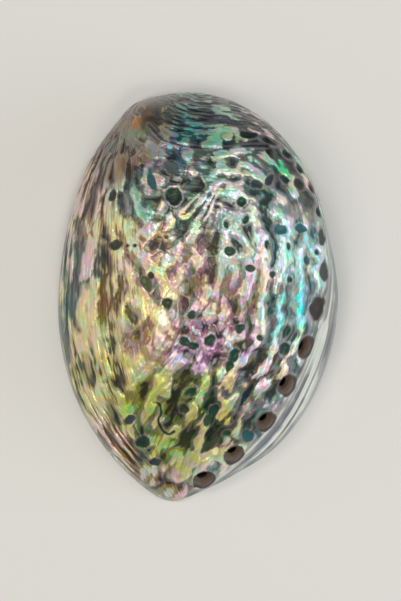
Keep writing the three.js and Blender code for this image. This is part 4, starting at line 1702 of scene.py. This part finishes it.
@dataclass(frozen=True)
class NacreFinish:
    """Polished mother-of-pearl: metallic colours that shift over every lump, under a glassy skin.

    Attributes:
        metallic: how much of it shines like metal.
        roughness: how rough the polished nacre is.
        rough_mark: how rough the walls of the holes are.
        coat: how strong the glassy skin is.
        coat_roughness: how rough that skin is.
        film: how thick the thin film in the nacre is, in nanometres.
        shimmer: how strong the rainbow bands are.
        richness: how much the colours are deepened.
        hues: the colours of a rainbow band, in order.
        lining: the colours of the hollow's bands, in order.
    """

    metallic: float = 0.5
    roughness: float = 0.3
    rough_mark: float = 0.75
    coat: float = 1.0
    coat_roughness: float = 0.1
    film: float = 380.0
    shimmer: float = 0.36
    richness: float = 1.62
    hues: tuple[Hue, ...] = (Hue.PINK, Hue.CREAM, Hue.PALE_YELLOW, Hue.MINT, Hue.TURQUOISE, Hue.LAVENDER)
    lining: tuple[Hue, ...] = (Hue.PALE_GREEN, Hue.ICE, Hue.LAVENDER, Hue.PINK, Hue.CREAM)

    def material(self) -> bpy.types.Material:
        """Makes the material.

        Returns:
            The material.
        """
        bench = Bench("polished nacre")
        hair = self.hair(bench)
        crest = self.crest(bench, hair)
        mark = bench.read("mark")
        colour = self.painted(bench, crest)
        colour = self.shimmered(bench, colour, crest)
        colour = self.silken(bench, colour, hair)
        colour = self.outlined(bench, colour)
        colour = self.marked(bench, colour, mark)
        colour = self.lined(bench, colour)
        colour = self.lipped(bench, colour)
        pitted = bench.rest(bench.step(mark, -0.4, 0.1))
        dull = bench.sum("MAXIMUM", bench.read("bore"), bench.times(pitted, 0.7))
        glossy = bench.rest(dull)
        smoother = bench.times(glossy, self.rough_mark - self.roughness)
        inputs = {
            "Base Color": colour,
            "Metallic": bench.times(glossy, self.metallic),
            "Roughness": bench.sum("SUBTRACT", self.rough_mark, smoother),
            "IOR": 1.5,
            "Normal": self.bump(bench, crest),
            "Coat Weight": bench.times(glossy, self.coat),
            "Coat Roughness": self.coat_roughness,
            "Coat IOR": 1.4,
            "Thin Film Thickness": self.film,
            "Thin Film IOR": 1.4,
        }
        shader = bench.node("ShaderNodeBsdfPrincipled", inputs)
        bench.node("ShaderNodeOutputMaterial", {"Surface": shader.outputs[0]})
        return bench.material

    def grain(self, bench: Bench, fan_waves: Span, cord_waves: Span, detail: float) -> Socket:
        """Noise drawn out along the fan on the left and along the cords elsewhere.

        Args:
            bench: the material's nodes.
            fan_waves: waves to a millimetre across the fan and along it.
            cord_waves: waves to a millimetre across the cords and along them.
            detail: how many finer layers the noise has.

        Returns:
            The noise, about 0.5 on average.
        """
        fan = bench.drawn(bench.read("fan"), fan_waves, detail)
        cord = bench.drawn(bench.read("cord"), cord_waves, detail)
        return bench.blend(bench.read("by_row"), fan, cord)

    def hair(self, bench: Bench) -> Socket:
        """Fine streaks along the growth, longer and calmer where the shell is smooth.

        Args:
            bench: the material's nodes.

        Returns:
            Noise about 0.5 on average.
        """
        hair = self.grain(bench, fan_waves=(1.2, 0.12), cord_waves=(0.9, 0.25), detail=2.0)
        sheen = bench.drawn(bench.read("cord"), (0.55, 0.03), 3.0)
        return bench.blend(bench.read("smoothness"), hair, sheen)

    def crest(self, bench: Bench, hair: Socket) -> Socket:
        """How far a point is from a dip, below 0, to a crest, above 0.

        Args:
            bench: the material's nodes.
            hair: the fine streaks.

        Returns:
            A value from about -2 to 2.
        """
        fine = self.grain(bench, fan_waves=(0.4, 0.1), cord_waves=(0.4, 0.12), detail=3.0)
        crest = bench.plus(bench.read("lump"), bench.swing(fine, 1.6))
        return bench.plus(crest, bench.swing(hair, bench.plus(1.3, bench.read("streaky"))))

    def painted(self, bench: Bench, crest: Socket) -> Socket:
        """The patches' colours, from the painted shade of the dips to the painted highlight of the crests.

        Args:
            bench: the material's nodes.
            crest: dips below 0 and crests above.

        Returns:
            The colour.
        """
        painted_shade, tint, painted_highlight = (bench.read(name, "Color") for name in ("painted_shade", "tint", "painted_highlight"))
        # Dips take the painted shade colour, and crests the painted highlight colour.
        colour = bench.mix(bench.step(crest, -0.9, -0.2), painted_shade, tint)
        return bench.mix(bench.step(crest, 0.05, 0.6), colour, painted_highlight)

    def shimmered(self, bench: Bench, colour: Socket, crest: Socket) -> Socket:
        """Lays the rainbow bands over a colour, each cell with a hue of its own.

        Args:
            bench: the material's nodes.
            colour: the colour so far.
            crest: dips below 0 and crests above.

        Returns:
            The new colour.
        """
        drift = bench.cloudy((70.0, 70.0, 70.0), 2.0)
        phase = bench.plus(bench.times(crest, 0.3), bench.times(drift, 3.0))
        phase = bench.plus(phase, bench.times(bench.read("luck"), 1.2))
        band = bench.bands(bench.sum("FRACT", phase), self.hues)
        hued = bench.mix(1.0, colour, band, "COLOR")
        even = bench.times(bench.read("smoothness"), 0.8)
        share = bench.sum("MULTIPLY_ADD", bench.read("by_row"), 0.3 * self.shimmer, 0.7 * self.shimmer)
        mixed = bench.mix(bench.times(bench.rest(even), share), colour, hued)
        inputs = {"Saturation": self.richness, "Color": mixed}
        return bench.node("ShaderNodeHueSaturation", inputs).outputs[0]

    def silken(self, bench: Bench, colour: Socket, hair: Socket) -> Socket:
        """Darkens and lightens a colour along the fine streaks.

        Args:
            bench: the material's nodes.
            colour: the colour so far.
            hair: the fine streaks.

        Returns:
            The new colour.
        """
        inputs = {"Value": hair, "From Min": 0.3, "From Max": 0.7, "To Min": 0.74, "To Max": 1.16}
        silk = bench.node("ShaderNodeMapRange", inputs)
        return bench.mix(1.0, colour, silk.outputs[0], "MULTIPLY")

    def outlined(self, bench: Bench, colour: Socket) -> Socket:
        """Draws a thin pale line round some of the cells.

        Args:
            bench: the material's nodes.
            colour: the colour so far.

        Returns:
            The new colour.
        """
        some = bench.step(bench.cloudy((110.0, 110.0, 110.0), 1.0), 0.42, 0.58)
        line = bench.rest(bench.step(bench.read("seam"), 0.03, 0.14))
        weight = bench.times(bench.times(line, some), bench.read("outlined"))
        return bench.mix(bench.times(weight, 0.5), colour, Hue.CREAM.linear())

    def marked(self, bench: Bench, colour: Socket, mark: Socket) -> Socket:
        """Fills the pits and healed holes with their own colour and outlines them.

        Args:
            bench: the material's nodes.
            colour: the colour so far.
            mark: millimetres from the nearest mark's outline, below 0 inside.

        Returns:
            The new colour.
        """
        ring = bench.times(bench.step(mark, 0.0, 0.35), bench.rest(bench.step(mark, 0.5, 1.1)))
        colour = bench.mix(bench.times(ring, 0.12), colour, Hue.PINK_WHITE.linear())
        inside = bench.rest(bench.step(mark, -0.3, 0.2))
        toned = bench.mix(0.03, bench.read("mark_tone", "Color"), colour)
        colour = bench.mix(inside, colour, toned)
        edge = bench.times(bench.step(mark, -1.6, -0.5), bench.rest(bench.step(mark, 0.0, 0.5)))
        edge = bench.times(edge, bench.read("bore"))
        return bench.mix(bench.times(edge, 0.8), colour, Hue.SMOKE.linear())

    def lined(self, bench: Bench, colour: Socket) -> Socket:
        """Turns a colour into the hollow's: smooth silver with broad bands of green and rose.

        Args:
            bench: the material's nodes.
            colour: the colour so far.

        Returns:
            The new colour.
        """
        sweep = bench.times(bench.cloudy((24.0, 24.0, 40.0), 3.0), 5.0)
        band = bench.bands(bench.sum("FRACT", sweep), self.lining)
        smooth = bench.mix(0.45, band, Hue.SILVER.linear())
        smooth = bench.mix(0.06, smooth, colour)
        return bench.mix(bench.read("hollow"), colour, smooth)

    def lipped(self, bench: Bench, colour: Socket) -> Socket:
        """Pales the ground edge of the mouth."""
        low = bench.rest(bench.step(bench.read("lift"), 0.5, 4.5))
        return bench.mix(bench.times(low, 0.75), colour, Hue.SILVER.linear())

    def bump(self, bench: Bench, crest: Socket) -> Socket:
        """The fine relief: hair lines along the growth, dimples and the crests themselves.

        Args:
            bench: the material's nodes.
            crest: dips below 0 and crests above.

        Returns:
            The bumped surface's direction.
        """
        hair = self.grain(bench, fan_waves=(0.9, 0.12), cord_waves=(0.7, 0.2), detail=3.0)
        dimples = bench.cloudy((420.0, 420.0, 420.0), 2.0)
        height = bench.plus(bench.plus(bench.times(crest, 0.5), hair), bench.times(dimples, 0.8))
        even = bench.times(bench.read("smoothness"), 0.7)
        even = bench.sum("MAXIMUM", even, bench.read("hollow"))
        height = bench.times(height, bench.rest(bench.times(even, 0.95)))
        inputs = {"Height": height, "Strength": 0.7, "Distance": 0.5 * MM}
        return bench.node("ShaderNodeBump", inputs).outputs[0]


@dataclass(frozen=True)
class FloorFinish:
    """Plain pale matt floor, faintly clouded."""

    colour: tuple[float, float, float, float] = (0.72, 0.71, 0.69, 1.0)
    cloud_colour: tuple[float, float, float, float] = (0.6, 0.59, 0.58, 1.0)

    def material(self) -> bpy.types.Material:
        """Makes the material.

        Returns:
            The material.
        """
        bench = Bench("pale floor")
        cloud = bench.cloudy((4.0, 4.0, 4.0), 2.0)
        colour = bench.mix(bench.times(cloud, 0.06), self.colour, self.cloud_colour)
        shader = bench.node("ShaderNodeBsdfPrincipled", {"Base Color": colour, "Roughness": 0.8})
        bench.node("ShaderNodeOutputMaterial", {"Surface": shader.outputs[0]})
        return bench.material


# ------------------------------------------------------------------------------------ the studio
@dataclass(frozen=True)
class Softbox:
    """One soft lamp: where it hangs, how large it is and how bright."""

    name: str
    place: tuple[float, float, float]
    size: Span
    watts: float
    colour: tuple[float, float, float] = (1.0, 1.0, 1.0)

    def hang(self, target: Vector) -> None:
        """Hangs the lamp so that it shines at a point.

        Args:
            target: that point.
        """
        lamp = bpy.data.lights.new(self.name, "AREA")
        lamp.shape = "RECTANGLE"
        lamp.size, lamp.size_y = self.size
        lamp.energy, lamp.color = self.watts, self.colour
        holder = bpy.data.objects.new(self.name, lamp)
        holder.location = self.place
        holder.rotation_euler = (target - Vector(self.place)).to_track_quat("-Z", "Y").to_euler()
        bpy.context.collection.objects.link(holder)


@dataclass(frozen=True)
class Studio:
    """The floor, the lamps and the camera straight above the shell."""

    camera_height: float = 0.55
    camera_offset: Span = (0.9 * MM, -1.3 * MM)
    lens: float = 89.6
    floor_size: float = 3.0
    world: tuple[float, float, float, float] = (0.66, 0.65, 0.63, 1.0)
    world_strength: float = 0.35
    lamps: tuple[Softbox, ...] = (
        Softbox("upper left window", (-0.38, 0.42, 0.95), (0.45, 0.22), 2.6, (1.0, 0.97, 0.91)),
        Softbox("upper right window", (0.45, 0.35, 0.9), (0.22, 0.5), 2.2, (0.98, 1.0, 0.98)),
        Softbox("lower left window", (-0.5, -0.35, 0.85), (0.2, 0.45), 2.2, (1.0, 0.95, 0.84)),
        Softbox("lower window", (0.25, -0.55, 0.95), (0.5, 0.16), 1.8, (1.0, 0.97, 0.9)),
        Softbox("right strip", (0.8, -0.15, 0.3), (0.9, 0.3), 3.0, (0.95, 0.98, 1.0)),
        Softbox("left strip", (-0.8, 0.0, 0.3), (0.9, 0.14), 1.0, (1.0, 0.97, 0.93)),
    )

    def build(self) -> None:
        """Sets up the studio."""
        self.floor()
        for lamp in self.lamps:
            lamp.hang((CAD_LOW + CAD_HIGH) / 2)
        scene = bpy.context.scene
        world = bpy.data.worlds.new("studio air")
        world.use_nodes = True
        back = world.node_tree.nodes["Background"]
        back.inputs[0].default_value, back.inputs[1].default_value = self.world, self.world_strength
        scene.world = world
        scene.view_settings.view_transform = "Standard"
        self.camera(scene)

    def floor(self) -> None:
        """Lays the floor under the shell."""
        bm = bmesh.new()
        bmesh.ops.create_grid(bm, x_segments=8, y_segments=8, size=self.floor_size / 2)
        bmesh.ops.translate(bm, verts=bm.verts, vec=(0.0, 0.0, CAD_LOW.z))
        mesh = bpy.data.meshes.new("floor")
        bm.to_mesh(mesh)
        bm.free()
        floor = bpy.data.objects.new("floor", mesh)
        floor.data.materials.append(FloorFinish().material())
        bpy.context.collection.objects.link(floor)

    def camera(self, scene: bpy.types.Scene) -> None:
        """Hangs the camera straight above, the spire end at the top of its picture.

        Args:
            scene: the scene that it films.
        """
        lens = bpy.data.cameras.new("camera")
        lens.lens = self.lens
        camera = bpy.data.objects.new("camera", lens)
        camera.location = (*self.camera_offset, CAD_LOW.z + self.camera_height)
        bpy.context.collection.objects.link(camera)
        scene.camera = camera


def main() -> None:
    """Builds the shell and its studio."""
    logging.basicConfig(level=logging.INFO, format="%(name)s: %(message)s")
    plan = Plan()
    shell = Shell(Dome(plan), Relief(plan, Growth(plan))).build()
    shell.data.materials.append(NacreFinish().material())
    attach(shell, "root")
    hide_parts(NODE)
    log.info("%s: %d vertices, %d faces", shell.name, len(shell.data.vertices), len(shell.data.polygons))
    Studio().build()


if __name__ == "__main__":
    main()
